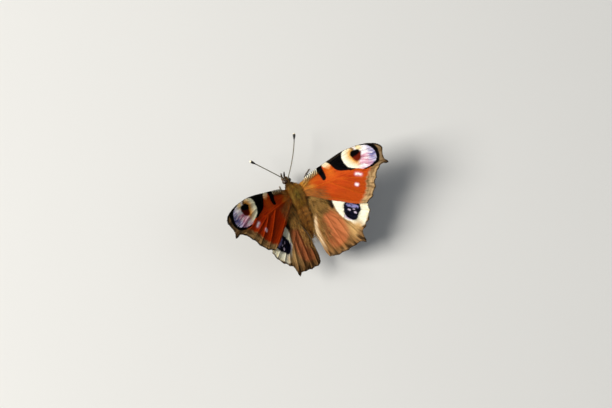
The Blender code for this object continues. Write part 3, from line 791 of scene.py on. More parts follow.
def paint_forewing(points, wing):
    wavy = wobble(points, 0.12, 1.1, 3)
    hairs = streaks(points, wing, 0.25, 2.5, 6)
    out, back = points.T
    costa, hind = distance(points, wing["front"]), distance(points, wing["rear"])
    rim = distance(points, wing["edge"])
    rim = np.minimum(rim, costa + 6 * (1 - ease((out - 22.5) / 2.0)))
    colours = paint_forewing_ground(points, wing, hairs)
    colours = paint_forewing_margin(points, wing, colours, rim, wavy)
    colours = mix(colours, TAN, 0.1 * ease((0.8 - hind) / 0.8 + 0.3) * ease((out - 6.0) / 6.0))
    colours = paint_front_edge(points, colours, costa, hairs)
    cream = layered(ORANGE, (CREAM, ease((-3.0 - back) / 2.0)), (PALE_YELLOW, 0.3))
    patch = cover(wavy, COSTAL_PATCH, 0.22)
    sooty = patch * ease((0.75 - costa) / 0.5 + 0.5)
    colours = layered(
        colours,
        (cream, cover(wavy, COSTAL_SPOT, 0.6)),
        (BLACK, cover(wavy, DISCAL_BAR, 0.22)),
        (BLACK, patch),
        (SOOT, 0.8 * sooty * ease(0.6 + 0.6 * hairs)),
        (BLACK, cover(wavy, EYESPOT_EDGE, 0.3)),
    )
    colours = paint_eyespot(points, colours)
    for start, end, radius, halo in WHITE_SPOTS:
        colours = mix(colours, PINK, 0.65 * dab(wavy, start, end, radius + 0.25, halo))
        colours = mix(colours, WHITE, dab(wavy, start, end, radius, 0.75))

    # The hairy base and the root behind it, the thin dark front line and the dark outer line
    base = ease((4.2 - out - 0.6 * np.abs(back)) / 3.0 + 0.4)
    near = ease((3.4 - hind) / 2.4) * ease((8.5 - out) / 5.0)
    return layered(
        colours,
        (OCHRE, 0.8 * base * ease(0.8 + 0.6 * hairs)),
        (COPPER, 0.8 * near),
        (SOOT, 0.85 * ease((0.22 - costa) / 0.16 + 0.5) * ease((out - 7.0) / 1.0)),
        (EDGE, 0.9 * ease((0.44 - rim) / 0.3 + 0.5)),
    )


def paint_ocellus(points, colours, hairs):
    """The hindwing's eye: black and blue, ringed with cream."""
    wavy = wobble(points, 0.12, 1.4, 31)
    out, back = points.T
    outer = ease((out - 14.2) / 1.5)
    lower = ease((back - 14.4) / 3.0) * ease((14.4 - out) / 3.0)
    yellow = (0.1 + 0.3 * outer) * ease(0.5 + hairs)
    ring = layered(CREAM, (PALE_YELLOW, yellow), (GOLD, lower))
    colours = mix(colours, ring, cover(wavy, RING, 0.6))
    for start, end in zip(OCELLUS_CRESCENT, OCELLUS_CRESCENT[1:]):
        colours = mix(colours, PALE_LILAC, dab(wavy, start, end, 0.34, 0.2))
    heart = cover(wavy, OCELLUS, 2.4)
    grainy = ease(0.85 + 0.9 * noise(points * 2.6, 34))
    colours = layered(
        colours,
        (BLACK, cover(wavy, OCELLUS, 0.3)),
        (NAVY, heart * ease(0.7 + 0.5 * noise(points * 1.6, 33))),
        (LILAC, grainy * dab(wavy, *BLUE_BAND, 0.5)),
    )
    for start, end, radius in BLUE_DOTS:
        colours = mix(colours, PALE_LILAC, 0.8 * dab(wavy, start, end, radius, 0.4))
    return colours


def paint_hindwing(points, wing):
    wavy = wobble(points, 0.16, 0.9, 13)
    broad = streaks(points, wing, 1.4, 7.0, 14)
    hairs = streaks(points, wing, 0.3, 3.0, 15)
    out, back = points.T
    rim, inner = distance(points, wing["edge"]), distance(points, wing["rear"])
    _, crest = vein_crest(points, wing)
    rust = cover(wavy, RUST_FIELD, 1.8)
    gold = np.minimum(1.0, 1.3 * round_spot(points, (10.2, 17.4), (2.2, 3.2)))
    dusky = mix(DUST, PEAT, ease(0.35 + 1.1 * hairs))
    colours = layered(
        FAWN,
        (UMBER, ease(0.32 + 0.8 * hairs)),
        (UMBER, 0.5 * ease(0.3 - broad) * ease((4.0 - out) / 2.0)),
        (SIENNA, 0.95 * rust * ease(1.1 + 0.7 * broad)),
        (CHESTNUT, 0.6 * rust * ease(hairs * 1.5 - 0.1)),
        (GOLD, 0.95 * gold * ease(0.85 + 0.5 * hairs)),
        (dusky, ease((2.2 + 0.6 * broad + 0.8 * hairs - rim) / 1.9)),
        (EDGE, 0.55 * ease((1.7 - rim) / 1.2) * ease(hairs * 2.0 - 0.2)),
        (UMBER, 0.25 * crest),
        (SEPIA, cover(wavy, WEDGE, 0.7)),
    )
    # A pale band along the inner margin's fold: partly its own pale brown, partly painted light on
    # the fold
    lit_fold = ease((1.6 - inner) / 0.7) * ease((back - 6.5) / 2.5) * ease((21.0 - back) / 5.0)
    base = ease((8.8 - back) / 2.4) * ease((7.0 - out) / 2.4)
    return layered(
        paint_ocellus(points, colours, hairs),
        (mix(PALE_LIT_FOLD, FAWN, ease(0.3 + 0.6 * hairs)), lit_fold),
        (mix(OLIVE, UMBER, ease(0.4 + 0.8 * hairs)), 0.85 * base),
        (EDGE, 0.85 * ease((0.38 - rim) / 0.3 + 0.5)),
    )


def paint_underside(points, wing):
    """Nearly black, with fine wavy lines across, a darker middle band and a grey margin."""
    away = points - wing["fan"]
    reach = np.linalg.norm(away, axis=1) + 0.5 * noise(points * 0.8, 41)
    ripple = noise(np.column_stack((reach * 3.4, np.arctan2(away[:, 1], away[:, 0]) * 14)), 42)
    rim = distance(points, wing["edge"])
    middle = band(reach, 0.42 * wing["reach"], 0.66 * wing["reach"], 0.6)
    line = band(reach, 0.655 * wing["reach"], 0.7 * wing["reach"], 0.5)
    return layered(
        UNDER_BROWN,
        (UNDER_BLACK, ease(0.5 + ripple)),
        (UNDER_BAND, 0.75 * middle),
        (UNDER_LINE, 0.5 * line * ease(0.6 + ripple)),
        (UNDER_MARGIN, 0.55 * band(rim, 0.9, 1.6, 0.5) * ease(0.5 + ripple)),
        (UNDER_EDGE, 0.8 * ease((0.4 - rim) / 0.3 + 0.5)),
    )


# The form of a wing

def thorax_at(back):
    """The solid's middle height, half width and half height there."""
    table = np.array(THORAX)
    return [np.interp(back, table[:, 0], table[:, column]) for column in (1, 2, 3)]


def thorax_half_width(back, up):
    middle, wide, high = thorax_at(back)
    return wide * np.sqrt(np.maximum(0.0, 1 - ((up - middle) / high) ** 2))


def tip_gaps(line, tips):
    """How far each point of a line is from the nearest tip of a vein."""
    return np.linalg.norm(line[:, None] - tips[None], axis=2).min(axis=1)


def scalloped(line, tips):
    """The outer edge, drawn in between the tips of the veins."""
    inward = unit(quarter_turned(np.gradient(line, axis=0)))
    bay = 1 - np.exp(-((tip_gaps(line, tips) / SCALLOP_REACH) ** 2))
    edge = line + inward * (SCALLOP_DEEP * (bay - 0.5))[:, None]
    edge[0], edge[-1] = line[0], line[-1]
    return edge


def complete_wing(wing):
    """Adds what the wing's other functions read: its outline, edges, veins and their tips."""
    front, back = wing["root"]
    places = np.linspace(back, front, 5)
    inner = thorax_half_width(places, wing["hinge_up"]) - ROOT_REACH - wing["hinge_left"]
    root = np.column_stack((inner / math.cos(DIHEDRAL), places))
    wing["lines"] = [smooth_line(vein, 0.8) for vein in wing["veins"]]
    wing["tips"] = np.array([vein[-1] for vein in wing["lines"]])
    leading = smooth_line((root[-1], *wing["leading"]), 0.6)
    stretches = [scalloped(smooth_line(line, 0.3), wing["tips"]) for line in wing["outer"]]
    edge = np.vstack([stretches[0], *[stretch[1:] for stretch in stretches[1:]]])
    trailing = smooth_line((*wing["trailing"], root[0]), 0.6)
    wing["outline"] = np.vstack((root, leading[1:], edge[1:], trailing[1:]))
    wing["front"] = smooth_line(wing["leading"], 0.6)
    wing["edge"] = edge
    wing["rear"] = smooth_line(wing["trailing"], 0.6)
    wing["reach"] = float(np.linalg.norm(edge - wing["fan"], axis=1).max())


def wing_form(points, wing):
    """The height of the membrane's middle over the wing's plane, and half its thickness."""
    share = np.clip(points[:, 0] / ARCH_SPAN, 0, 1)
    middle = WING_ARCH * 4 * share * (1 - share)
    if wing is HINDWING:
        inner = distance(points, wing["rear"])
        middle = middle - FOLD_STEEP * np.maximum(0.0, FOLD_WIDE - inner)
    closest, crest = vein_crest(points, wing)
    middle = middle - PLEAT_DEEP * (ease(closest / PLEAT_WIDE) - 0.5)
    return middle, MEMBRANE_HALF + VEIN_RISE * crest


def on_wing(points, heights, wing, side):
    """Places on a wing, with heights over its plane, as places on the body."""
    out, back = points[:, 0], points[:, 1]
    left = wing["hinge_left"] + out * math.cos(DIHEDRAL) - heights * math.sin(DIHEDRAL)
    up = wing["hinge_up"] + out * math.sin(DIHEDRAL) + heights * math.cos(DIHEDRAL)
    return np.column_stack((side * left, back, up))


def wing_patch(points, wing, upper):
    """The place of a point of the wing on its unwrap, the upper side over the lower one."""
    low, high = wing["outline"].min(0), wing["outline"].max(0)
    shares = (points - low) / (high - low).max()
    return shares * UNWRAP_SIZE + (UNWRAP_UPPER if upper else UNWRAP_LOWER)


def sheet_plan(wing):
    """A square grid cut to the wing's outline, with its rim moved onto that line."""
    outline = wing["outline"]
    low, high = outline.min(0) - SHEET_STEP, outline.max(0) + 2 * SHEET_STEP
    outs, backs = (np.arange(low[axis], high[axis], SHEET_STEP) for axis in (0, 1))
    grid = np.stack(np.meshgrid(outs, backs, indexing="ij"), -1).reshape(-1, 2)
    gap, foot, _ = nearest(grid, outline)
    depth = np.where(within(grid, outline), gap, -gap) - RIM_INSET
    index = np.arange(len(grid)).reshape(len(outs), len(backs))
    cells = np.stack((index[:-1, :-1], index[1:, :-1], index[1:, 1:], index[:-1, 1:]), -1)
    cells = cells.reshape(-1, 4)
    cells = cells[(depth[cells] > -0.45 * SHEET_STEP).all(axis=1)]
    touched = np.bincount(cells.ravel(), minlength=len(grid))
    rim = (touched > 0) & (touched < 4)
    grid[rim] += (unit(foot - grid) * depth[:, None])[rim]
    kept = np.flatnonzero(touched)
    renumber = np.zeros(len(grid), int)
    renumber[kept] = np.arange(len(kept))
    return grid[kept], renumber[cells]


def rim_edges(cells):
    """The edges that only one cell has, in that cell's own direction."""
    ends = np.concatenate([np.stack((cells[:, k], cells[:, (k + 1) % 4]), -1) for k in range(4)])
    codes = ends[:, 0].astype(np.int64) * (cells.max() + 1) + ends[:, 1]
    twins = ends[:, 1].astype(np.int64) * (cells.max() + 1) + ends[:, 0]
    return ends[~np.isin(codes, twins)]


def make_membranes(word, wing, paint, material):
    """The membrane of both wings of a pair, thin and closed, with its veins raised."""
    plan, cells = sheet_plan(wing)
    middle, half = wing_form(plan, wing)
    start, end = rim_edges(cells).T
    below = len(plan)
    walls = np.stack((end, start, below + start, below + end), -1)
    groups = [np.vstack((cells, below + cells[:, ::-1], walls))]
    colours = np.vstack((paint(plan, wing), paint_underside(plan, wing)))
    patches = np.vstack([wing_patch(plan, wing, upper) for upper in (True, False)])
    for name, side in SIDES.items():
        faces = [on_wing(plan, height, wing, side) for height in (middle + half, middle - half)]
        # Raising the colours to the side's "depth" paints shade on the left forewing
        add_piece(
            f"{word}_{name}_membrane", np.vstack(faces), turned(groups, side), material,
            "wing_scales", f"{word}_{name}",
            colours=colours ** wing["depth"][name], patches=patches,
        )


# Scales in rows over a wing: along, across, rise, as shares of a scale's length, width and rise
SCALE_FORM = np.array((
    (0.0, -0.28, -0.3), (0.0, 0.28, -0.3), (0.82, 0.5, 0.85), (1.0, 0.2, 1.0), (1.0, -0.2, 1.0),
    (0.82, -0.5, 0.85),
))
SCALE_FACES = np.array(((0, 2, 1), (0, 3, 2), (0, 4, 3), (0, 5, 4)))
SCALE_TONE = 0.86 + 0.2 * SCALE_FORM[:, 0]
SCALE_PATCH = np.column_stack((SCALE_FORM[:, 0], SCALE_FORM[:, 1] + 0.5)) * PATCH_SIZE


def scale_roots(wing, rng):
    """Rows of places round the point that the wing's scales lie away from."""
    away = wing["outline"] - wing["fan"]
    reach = np.linalg.norm(away, axis=1)
    turns = np.arctan2(away[:, 1], away[:, 0])
    spots = []
    for row, radius in enumerate(np.arange(reach.min(), reach.max(), SCALE_ALONG)):
        step = SCALE_ACROSS / radius
        turn = np.arange(turns.min() + (row % 2) * step / 2, turns.max(), step)
        turn = turn + rng.uniform(-0.2, 0.2, len(turn)) * step
        radii = radius + rng.uniform(-0.25, 0.25, len(turn)) * SCALE_ALONG
        spots.append(wing["fan"] + np.column_stack((np.cos(turn), np.sin(turn))) * radii[:, None])
    spots = np.vstack(spots)
    gap = distance(spots, wing["outline"])
    return spots[within(spots, wing["outline"]) & (gap > RIM_INSET)]


def face_height(points, wing, facing):
    """The height over the wing's plane of its upper (1) or lower (-1) face."""
    middle, half = wing_form(points, wing)
    return middle + facing * half


def scale_corners(roots, wing, facing, rng):
    """The corners of the scales: their places on the wing and their heights over its plane."""
    count = len(roots)
    here = face_height(roots, wing, facing)
    slope = np.column_stack([
        (face_height(roots + shift, wing, facing) - here) / SLOPE_STEP
        for shift in ((SLOPE_STEP, 0), (0, SLOPE_STEP))
    ])
    lie = unit(roots - wing["fan"])
    turn = rng.normal(0, 0.1, count)[:, None]
    lie = lie * np.cos(turn) + quarter_turned(lie) * np.sin(turn)
    long = SCALE_LONG * rng.uniform(0.85, 1.15, count)[:, None]
    wide = SCALE_WIDE * rng.uniform(0.85, 1.15, count)[:, None]
    rise = SCALE_RISE * rng.uniform(0.7, 1.3, count)[:, None]
    tilt = rng.normal(0, 0.012, count)[:, None]
    along, across, up = SCALE_FORM.T
    ahead = (along * long)[..., None] * lie[:, None]
    aside = (across * wide)[..., None] * quarter_turned(lie)[:, None]
    plan = roots[:, None] + ahead + aside
    lift = up * rise + tilt * across * 2
    climb = ((plan - roots[:, None]) * slope[:, None]).sum(-1)
    return plan.reshape(-1, 2), (here[:, None] + climb + facing * lift).ravel()


def make_scales(word, wing, paint, upper, material, seed):
    """One face of both wings of a pair, covered with overlapping scales."""
    rng = np.random.default_rng(seed)
    roots = scale_roots(wing, rng)
    plan, heights = scale_corners(roots, wing, 1 if upper else -1, rng)
    tints = rng.uniform(0.88, 1.1, len(roots))[:, None]
    colours = np.clip(paint(roots, wing) * tints, 0, 1)
    places = wing_patch(roots, wing, upper)
    faces, colours, patches = copies(SCALE_FACES, SCALE_TONE, SCALE_PATCH, colours, places)
    kind = "upper_scales" if upper else "lower_scales"
    for name, side in SIDES.items():
        # Raising the colours to the side's "depth" paints shade on the left forewing
        add_piece(
            f"{word}_{name}_{kind}", on_wing(plan, heights, wing, side),
            turned(faces, side if upper else -side), material, "wing_scales",
            colours=colours ** wing["depth"][name], patches=patches,
        )


# Hair, as thin tapered tufts

HAIR_RINGS = np.array((0.0, 0.35, 0.7))
HAIR_TAPER = np.array((1.0, 0.8, 0.45))
TUFT_PULL = 0.55


def hair_faces():
    """The faces of one tuft of three sides: three rings and a tip."""
    faces = []
    for ring in range(len(HAIR_RINGS) - 1):
        for k in range(3):
            here, there = ring * 3 + k, ring * 3 + (k + 1) % 3
            faces += [(there, here, here + 3), (there, here + 3, there + 3)]
    last = (len(HAIR_RINGS) - 1) * 3
    tip = len(HAIR_RINGS) * 3
    faces += [(last + (k + 1) % 3, last + k, tip) for k in range(3)]
    return np.array(faces)


HAIR_FACES = hair_faces()
# How light each point of a tuft is, and its place in the tuft's patch
HAIR_TONE = np.append(np.repeat((0.62, 0.95, 1.08), 3), 1.15)
HAIR_PATCH = np.column_stack((
    np.append(np.tile((0.0, 1.0, 2.0), 3), 1.0),
    np.append(np.repeat((0.0, 1.0, 2.0), 3), 3.0),
)) * 0.001


def gather(path, pull, tufts, rng):
    """Draws the tips of hairs together into tufts, each round the hair nearest to its middle."""
    guides = rng.choice(len(path), max(1, len(path) // tufts), replace=False)
    tree = kdtree.KDTree(len(guides))
    for place, guide in enumerate(guides):
        tree.insert(Vector(path[guide, 0]), place)
    tree.balance()
    own = guides[[tree.find(Vector(root))[1] for root in path[:, 0]]]
    shares = np.append(HAIR_RINGS, 1.0) ** 2
    return path + pull * shares[None, :, None] * (path[own] - path)


def hair_form(roots, out, lie, length, radius, stand, droop, rng, curl=0.12, tufts=0):
    """Points of many hairs: each starts at an angle to the skin and bends over along its lie."""
    count = len(roots)
    side = np.cross(lie, out)
    swerve = rng.normal(0, curl, count)
    shares = np.append(HAIR_RINGS, 1.0)
    up = np.sin(stand)[:, None] * shares - droop * shares ** 2
    ahead = np.cos(stand)[:, None] * shares + 0.3 * droop * shares ** 2
    drift = swerve[:, None] * shares ** 2
    bend = up[..., None] * out[:, None] + ahead[..., None] * lie[:, None]
    path = roots[:, None] + length[:, None, None] * (bend + drift[..., None] * side[:, None])
    if tufts:
        path = gather(path, TUFT_PULL, tufts, rng)
    spin = rng.uniform(0, 2 * np.pi, count)
    thick = np.broadcast_to(radius, count)[:, None] * HAIR_TAPER
    rings = []
    for k in range(3):
        turn = spin + 2 * np.pi * k / 3
        way = np.cos(turn)[:, None] * side + np.sin(turn)[:, None] * out
        rings.append(way[:, None] * thick[..., None])
    body = path[:, :-1, None] + np.stack(rings, axis=2)
    return np.concatenate((body.reshape(count, -1, 3), path[:, -1:]), axis=1)


def round_patch(turn, share):
    """Places on the unwrap of a round form, from an angle round it and a share of its length."""
    return np.column_stack((turn / (2 * np.pi), share)) * 0.95 + 0.02


def make_hair(name, hair, colours, patches, material, slot):
    """A piece from the points of many tufts, darker at their roots."""
    faces, shades, spots = copies(HAIR_FACES, HAIR_TONE, HAIR_PATCH, colours, patches)
    add_piece(name, hair.reshape(-1, 3), faces, material, slot, colours=shades, patches=spots)


def add_to_wings(word, kind, wing, hair, roots, colours, lights, material, slot):
    """Hair laid out over a flat wing, on both wings of a pair."""
    patches = wing_patch(roots, wing, True)
    flat = hair.reshape(-1, 3)
    for name, side in SIDES.items():
        placed = on_wing(flat[:, :2], flat[:, 2], wing, side).reshape(hair.shape)
        # Each side's colours are multiplied by its painted light, which is 1 where none is painted
        make_hair(f"{word}_{name}_{kind}", placed, colours * lights[name], patches, material, slot)


# The body: one skin from the face to the tail

# back, up, half width, half height, squareness, of the skin under the coat
BODY_FRONT = (
    (-6.62, -1.2, 0.2, 0.3, 2.2),
    (-6.5, -1.17, 0.38, 0.6, 2.4),
    (-6.2, -1.1, 0.5, 0.84, 2.6),
    (-5.4, -0.95, 0.58, 0.98, 2.6),
    (-4.7, -0.9, 0.6, 0.92, 2.4),
    (-4.2, -0.85, 0.58, 0.76, 2.2),
    (-3.8, -0.7, 0.95, 0.98, 2.0),
    (-3.1, -0.35, 1.5, 1.45, 2.0),
    (-1.8, 0.0, 1.86, 1.92, 2.0),
    (-0.2, 0.1, 1.98, 2.04, 2.0),
    (1.6, 0.0, 1.8, 1.88, 2.0),
    (2.9, -0.3, 1.5, 1.52, 2.0),
    (3.8, -0.6, 1.22, 1.2, 2.0),
)
ABDOMEN_RADII = ((0.0, 1.24), (0.18, 1.52), (0.45, 1.57), (0.7, 1.3), (0.88, 0.84), (1.0, 0.2))
CREASE_DEEP, CREASE_WIDE = 0.1, 0.08
SKIN_STEP, SKIN_SIDES, SKIN_SHADE = 0.11, 60, 0.45


def body_table():
    """Rows of (left, back, up, half width, half height, squareness) from the face to the tail."""
    front = smooth_line(np.array(BODY_FRONT), 0.15)
    front = np.column_stack((np.zeros(len(front)), front))
    shares = np.linspace(0.0, 1.0, 110)
    radii = np.interp(shares, *np.array(ABDOMEN_RADII).T)
    phase = (shares * ABDOMEN_SEGMENTS) % 1.0
    crease = CREASE_DEEP * np.exp(-((phase / CREASE_WIDE) ** 2))
    radii = radii * (1 + 0.05 * phase) - crease * (shares > 0.05)
    radii[-1] = 0.05
    rear = np.column_stack((
        ABDOMEN_DRIFT * shares ** 2,
        ABDOMEN_START + ABDOMEN_LENGTH * shares,
        ABDOMEN_UP - ABDOMEN_DROP * shares ** 1.5,
        radii,
        radii,
        np.full(len(shares), 2.0),
    ))
    return np.vstack((front, rear))


BODY = body_table()
BODY_PATH = np.concatenate(([0.0], np.cumsum(np.linalg.norm(np.diff(BODY[:, :3], axis=0), axis=1))))
BODY_LENGTH = BODY_PATH[-1]


def body_point(along, turn):
    """A place on the skin, at a distance along the body and an angle round it from its left."""
    middle = read_table(along, BODY_PATH, BODY[:, :3])
    wide, high, square = read_table(along, BODY_PATH, BODY[:, 3:]).T
    ahead = way_along(along, BODY_PATH, BODY[:, :3], 0.05)
    side = unit(np.array((1.0, 0.0, 0.0)) - ahead * ahead[:, :1])
    over = np.cross(side, ahead)
    flat, tall = np.cos(turn), np.sin(turn)
    flat = np.sign(flat) * np.abs(flat) ** (2 / square) * wide
    tall = np.sign(tall) * np.abs(tall) ** (2 / square) * high
    return middle + flat[:, None] * side + tall[:, None] * over


def body_frame(along, turn):
    """Places on the skin, the way out there, and the way back along it."""
    here = body_point(along, turn)
    ahead = unit(body_point(along + 0.06, turn) - body_point(along - 0.06, turn))
    around = unit(body_point(along, turn + 0.03) - body_point(along, turn - 0.03))
    out = unit(np.cross(ahead, around))
    return here, out, ahead


def body_colours(along, turn, points):
    """The body's colours: golden with a painted olive sheen on the thorax, dark-banded golden brown
    behind.
    """
    back = points[:, 1]
    grain = noise(np.column_stack((turn * 3.0, along * 1.3)), 51)
    fine = noise(np.column_stack((turn * 9.0, along * 4.0)), 52)
    top = ease(0.38 + np.sin(turn))
    share = np.clip((back - ABDOMEN_START) / ABDOMEN_LENGTH, 0, 1)
    bands = np.cos(2 * np.pi * ABDOMEN_SEGMENTS * share)
    thorax = layered(
        THORAX_BROWN,
        (THORAX_GOLD, ease(0.4 + grain)),
        # Painted sheen: an olive patch on the thorax's top, a little to its left, where the light
        # falls
        (THORAX_SHEEN, 0.7 * round_spot(points[:, :2], (0.3, -0.6), (1.1, 1.8)) * top),
        (THORAX_DARK, 0.7 * ease(-0.4 - fine)),
        (BREAST, 0.95 * (1 - top)),
    )
    abdomen = layered(
        ABDOMEN_GOLD,
        (ABDOMEN_BROWN, ease(0.4 + fine)),
        (ABDOMEN_PALE, 0.6 * ease(grain)),
        (ABDOMEN_BAND, 0.5 * ease(0.6 * bands + 0.3)),
        (BELLY, 0.96 * (1 - top)),
    )
    head = mix(HEAD_BROWN, HEAD_DARK, ease(0.4 + fine))
    return layered(thorax, (abdomen, ease((back - 2.9) / 1.6)), (head, ease((-3.4 - back) / 1.0)))


def make_body_skin(material):
    """One closed skin over head, thorax and abdomen, darker than the hair that stands on it."""
    rings = np.arange(0.0, BODY_LENGTH, SKIN_STEP)
    turns = 2 * np.pi * np.arange(SKIN_SIDES) / SKIN_SIDES
    along, turn = (grid.ravel() for grid in np.meshgrid(rings, turns, indexing="ij"))
    points = body_point(along, turn)
    colours = body_colours(along, turn, points) * SKIN_SHADE
    points = np.vstack((points, points[:SKIN_SIDES].mean(0), points[-SKIN_SIDES:].mean(0)))
    colours = np.vstack((colours, colours[[0, -1]]))
    faces = [ring_faces(len(rings), SKIN_SIDES), end_caps(len(rings), SKIN_SIDES)]
    nodes = "head", "thorax", "abdomen"
    add_piece("body_skin", points, faces, material, "body_fur", *nodes, colours=colours)


def scatter_on_body(start, end, count, rng):
    """Random places along and round a stretch of the body, evenly spread over its surface."""
    along = rng.uniform(start, end, count * 3)
    girth = np.interp(along, BODY_PATH, BODY[:, 3] + BODY[:, 4])
    kept = rng.uniform(0, girth.max(), len(along)) < girth
    along = along[kept][:count]
    turn = rng.uniform(0, 2 * np.pi, len(along))
    return along, turn


def along_at(back):
    """How far along the body a place behind the thorax's middle lies."""
    return float(np.interp(back, BODY[:, 1], BODY_PATH))


# How each stretch of the body is covered: where along it, how many hairs, how long and how thick,
# how steeply they stand (degrees), how far they bend over, how many share a tuft, and how much
# they lie out beside the wings
COATS = {
    "head": {"from": -6.55, "to": -4.0, "count": 3600, "length": (0.3, 0.7), "radius": 0.02,
             "stand": (30, 65), "droop": 0.2, "tufts": 5, "beside": 0.0},
    "collar": {"from": -4.5, "to": -3.0, "count": 2200, "length": (0.7, 1.15), "radius": 0.024,
               "stand": (35, 65), "droop": 0.25, "tufts": 6, "beside": 0.0},
    "thorax": {"from": -3.9, "to": 3.9, "count": 10500, "length": (0.8, 1.5), "radius": 0.027,
               "stand": (22, 46), "droop": 0.28, "tufts": 7, "beside": 0.0},
    "mane": {"from": -3.3, "to": 4.4, "count": 7200, "length": (1.8, 3.1), "radius": 0.028,
             "stand": (26, 54), "droop": 0.34, "tufts": 9, "beside": 1.4},
    "flank": {"from": 3.0, "to": 13.6, "count": 4900, "length": (1.0, 2.0), "radius": 0.025,
              "stand": (22, 58), "droop": 0.2, "tufts": 8, "beside": 0.9},
    "abdomen": {"from": 3.7, "to": 15.2, "count": 10000, "length": (0.5, 1.1), "radius": 0.026,
                "stand": (14, 34), "droop": 0.18, "tufts": 7, "beside": 0.0},
    "saddle": {"from": 2.6, "to": 13.2, "count": 4500, "length": (1.4, 2.5), "radius": 0.026,
               "stand": (40, 74), "droop": 0.34, "tufts": 8, "beside": 1.5},
}


def coat_lie(name, turn, out, lie):
    """The way the hair lies: back along the body, but up over the head and out beside the wings."""
    if name == "head":
        lie = -lie + np.array((0.0, 0.0, 1.1)) * np.abs(np.sin(turn))[:, None]
    if name == "collar":
        lie = 0.3 * lie + np.array((0.0, -0.5, 0.6))
    lie = lie + COATS[name]["beside"] * np.sign(np.cos(turn))[:, None] * np.array((1.0, 0.0, 0.1))
    return unit(lie - out * (lie * out).sum(1)[:, None])


def coat_places(coat, rng):
    """Random places for a coat's hairs: high on the sides, where it lies out beside the wings."""
    ends = along_at(coat["from"]), along_at(coat["to"])
    if not coat["beside"]:
        return scatter_on_body(*ends, coat["count"], rng)
    along, turn = scatter_on_body(*ends, 4 * coat["count"], rng)
    wanted = np.abs(np.cos(turn)) ** 1.2 * ease(0.6 + 1.2 * np.sin(turn))
    kept = np.flatnonzero(rng.uniform(0, 1, len(turn)) < wanted)[:coat["count"]]
    return along[kept], turn[kept]


def make_body_coat(name, material, seed):
    """The coat over one stretch of the body."""
    coat = COATS[name]
    rng = np.random.default_rng(seed)
    along, turn = coat_places(coat, rng)
    roots, out, lie = body_frame(along, turn)
    lie = coat_lie(name, turn, out, lie)
    swirl = 0.35 * noise(np.column_stack((turn * 1.6, along * 0.7)), 61)[:, None]
    lie = unit(lie + swirl * np.cross(out, lie))
    number = len(along)
    length = rng.uniform(*coat["length"], number)
    if name == "abdomen":
        length = length * (0.75 + 0.4 * np.abs(np.cos(turn)))
    stand = np.radians(rng.uniform(*coat["stand"], number))
    thick = coat["radius"] * rng.uniform(0.7, 1.25, number)
    roots_under = roots - 0.06 * out
    hair = hair_form(
        roots_under, out, lie, length, thick, stand, coat["droop"], rng, tufts=coat["tufts"],
    )
    tone = rng.uniform(0.6, 1.5, number) * (1 + 0.45 * noise(roots[:, :2] * 2.2, 62))
    colours = body_colours(along, turn, roots) * tone[:, None]
    if coat["beside"]:
        golden = rng.uniform(0.0, 0.7, number) * ease(0.25 + np.sin(turn))
        colours = mix(colours, HONEY, golden)
    patches = round_patch(turn, along / BODY_LENGTH)
    make_hair(f"{name}_coat", hair, colours, patches, material, "body_fur")


# Long hair on the roots of the wings

WING_HAIR = {
    "forewing": {
        "count": 2000, "length": (0.9, 2.0), "seed": 104,
        "shades": (linear(180, 114, 52), linear(164, 98, 42), linear(132, 84, 36)),
    },
    "hindwing": {
        "count": 4200, "length": (0.9, 2.3), "seed": 105,
        "shades": (linear(206, 166, 94), linear(178, 126, 58), linear(86, 58, 24)),
    },
}


def wing_hair_places(wing, count, wanted, rng):
    """Random places on the wing where a chance given by `wanted` lets a hair grow."""
    low, high = wing["outline"].min(0), wing["outline"].max(0)
    spots = rng.uniform(low, high, (count * 12, 2))
    spots = spots[within(spots, wing["outline"])]
    spots = spots[rng.uniform(0, 1, len(spots)) < wanted(spots)]
    return spots[:count]


def wing_hair_form(spots, wing, lengths, rng):
    """Hairs that lie away from the wing's root, or out beside the body at its inner margin."""
    number = len(spots)
    middle, half = wing_form(spots, wing)
    beside = ease((1.8 - distance(spots, wing["rear"])) / 1.2)[:, None]
    away = unit(unit(spots - wing["fan"]) * (1 - beside) + beside * wing["hair_lie"])
    length = rng.uniform(*lengths, number) * (1 - 0.2 * beside[:, 0])
    thick = 0.026 * rng.uniform(0.7, 1.3, number)
    stand = np.radians(rng.uniform(8, 28, number))
    tints = rng.uniform(0, 1, number)
    roots = np.column_stack((spots, middle + half - 0.02))
    lie = np.column_stack((away, np.zeros(number)))
    up = np.tile((0.0, 0.0, 1.0), (number, 1))
    return hair_form(roots, up, lie, length, thick, stand, 0.14, rng, tufts=8), tints


def make_wing_hair(word, wing, wanted, material):
    """Long soft hair over the roots of a pair of wings and along their inner margins."""
    plan = WING_HAIR[word]
    rng = np.random.default_rng(plan["seed"])
    spots = wing_hair_places(wing, plan["count"], wanted, rng)
    hair, tints = wing_hair_form(spots, wing, plan["length"], rng)
    light, warm, dark = plan["shades"]
    mottled = 0.9 * ease(0.25 + 0.9 * noise(spots * 2.6, plan["seed"]))
    colours = layered(light, (warm, tints), (dark, mottled))
    # Painted shade on the left forewing's hair, and painted light on the left hindwing's hair
    lights = wing["painted_hair_light"]
    add_to_wings(word, "hair", wing, hair, spots, colours, lights, material, "body_fur")


def forewing_hair_chance(points):
    out, back = points.T
    root = 0.45 * ease((3.2 - out) / 2.6)
    return root + 0.9 * ease((7.6 - out) / 4.0) * ease((back - 0.1) / 2.2)


def hindwing_hair_chance(points):
    out, back = points.T
    inner = distance(points, HINDWING["rear"])
    disc = ease((5.4 - out) / 2.2) * ease((9.4 - back) / 2.6)
    margin = ease((0.6 - inner) / 0.3) * ease((16.5 - back) / 4.0)
    stripe = 0.22 * ease((3.4 - out) / 1.6) * ease((18.0 - back) / 7.0) * ease((inner - 1.3) / 0.5)
    return disc + margin + stripe


# Fringes at the edges of the wings

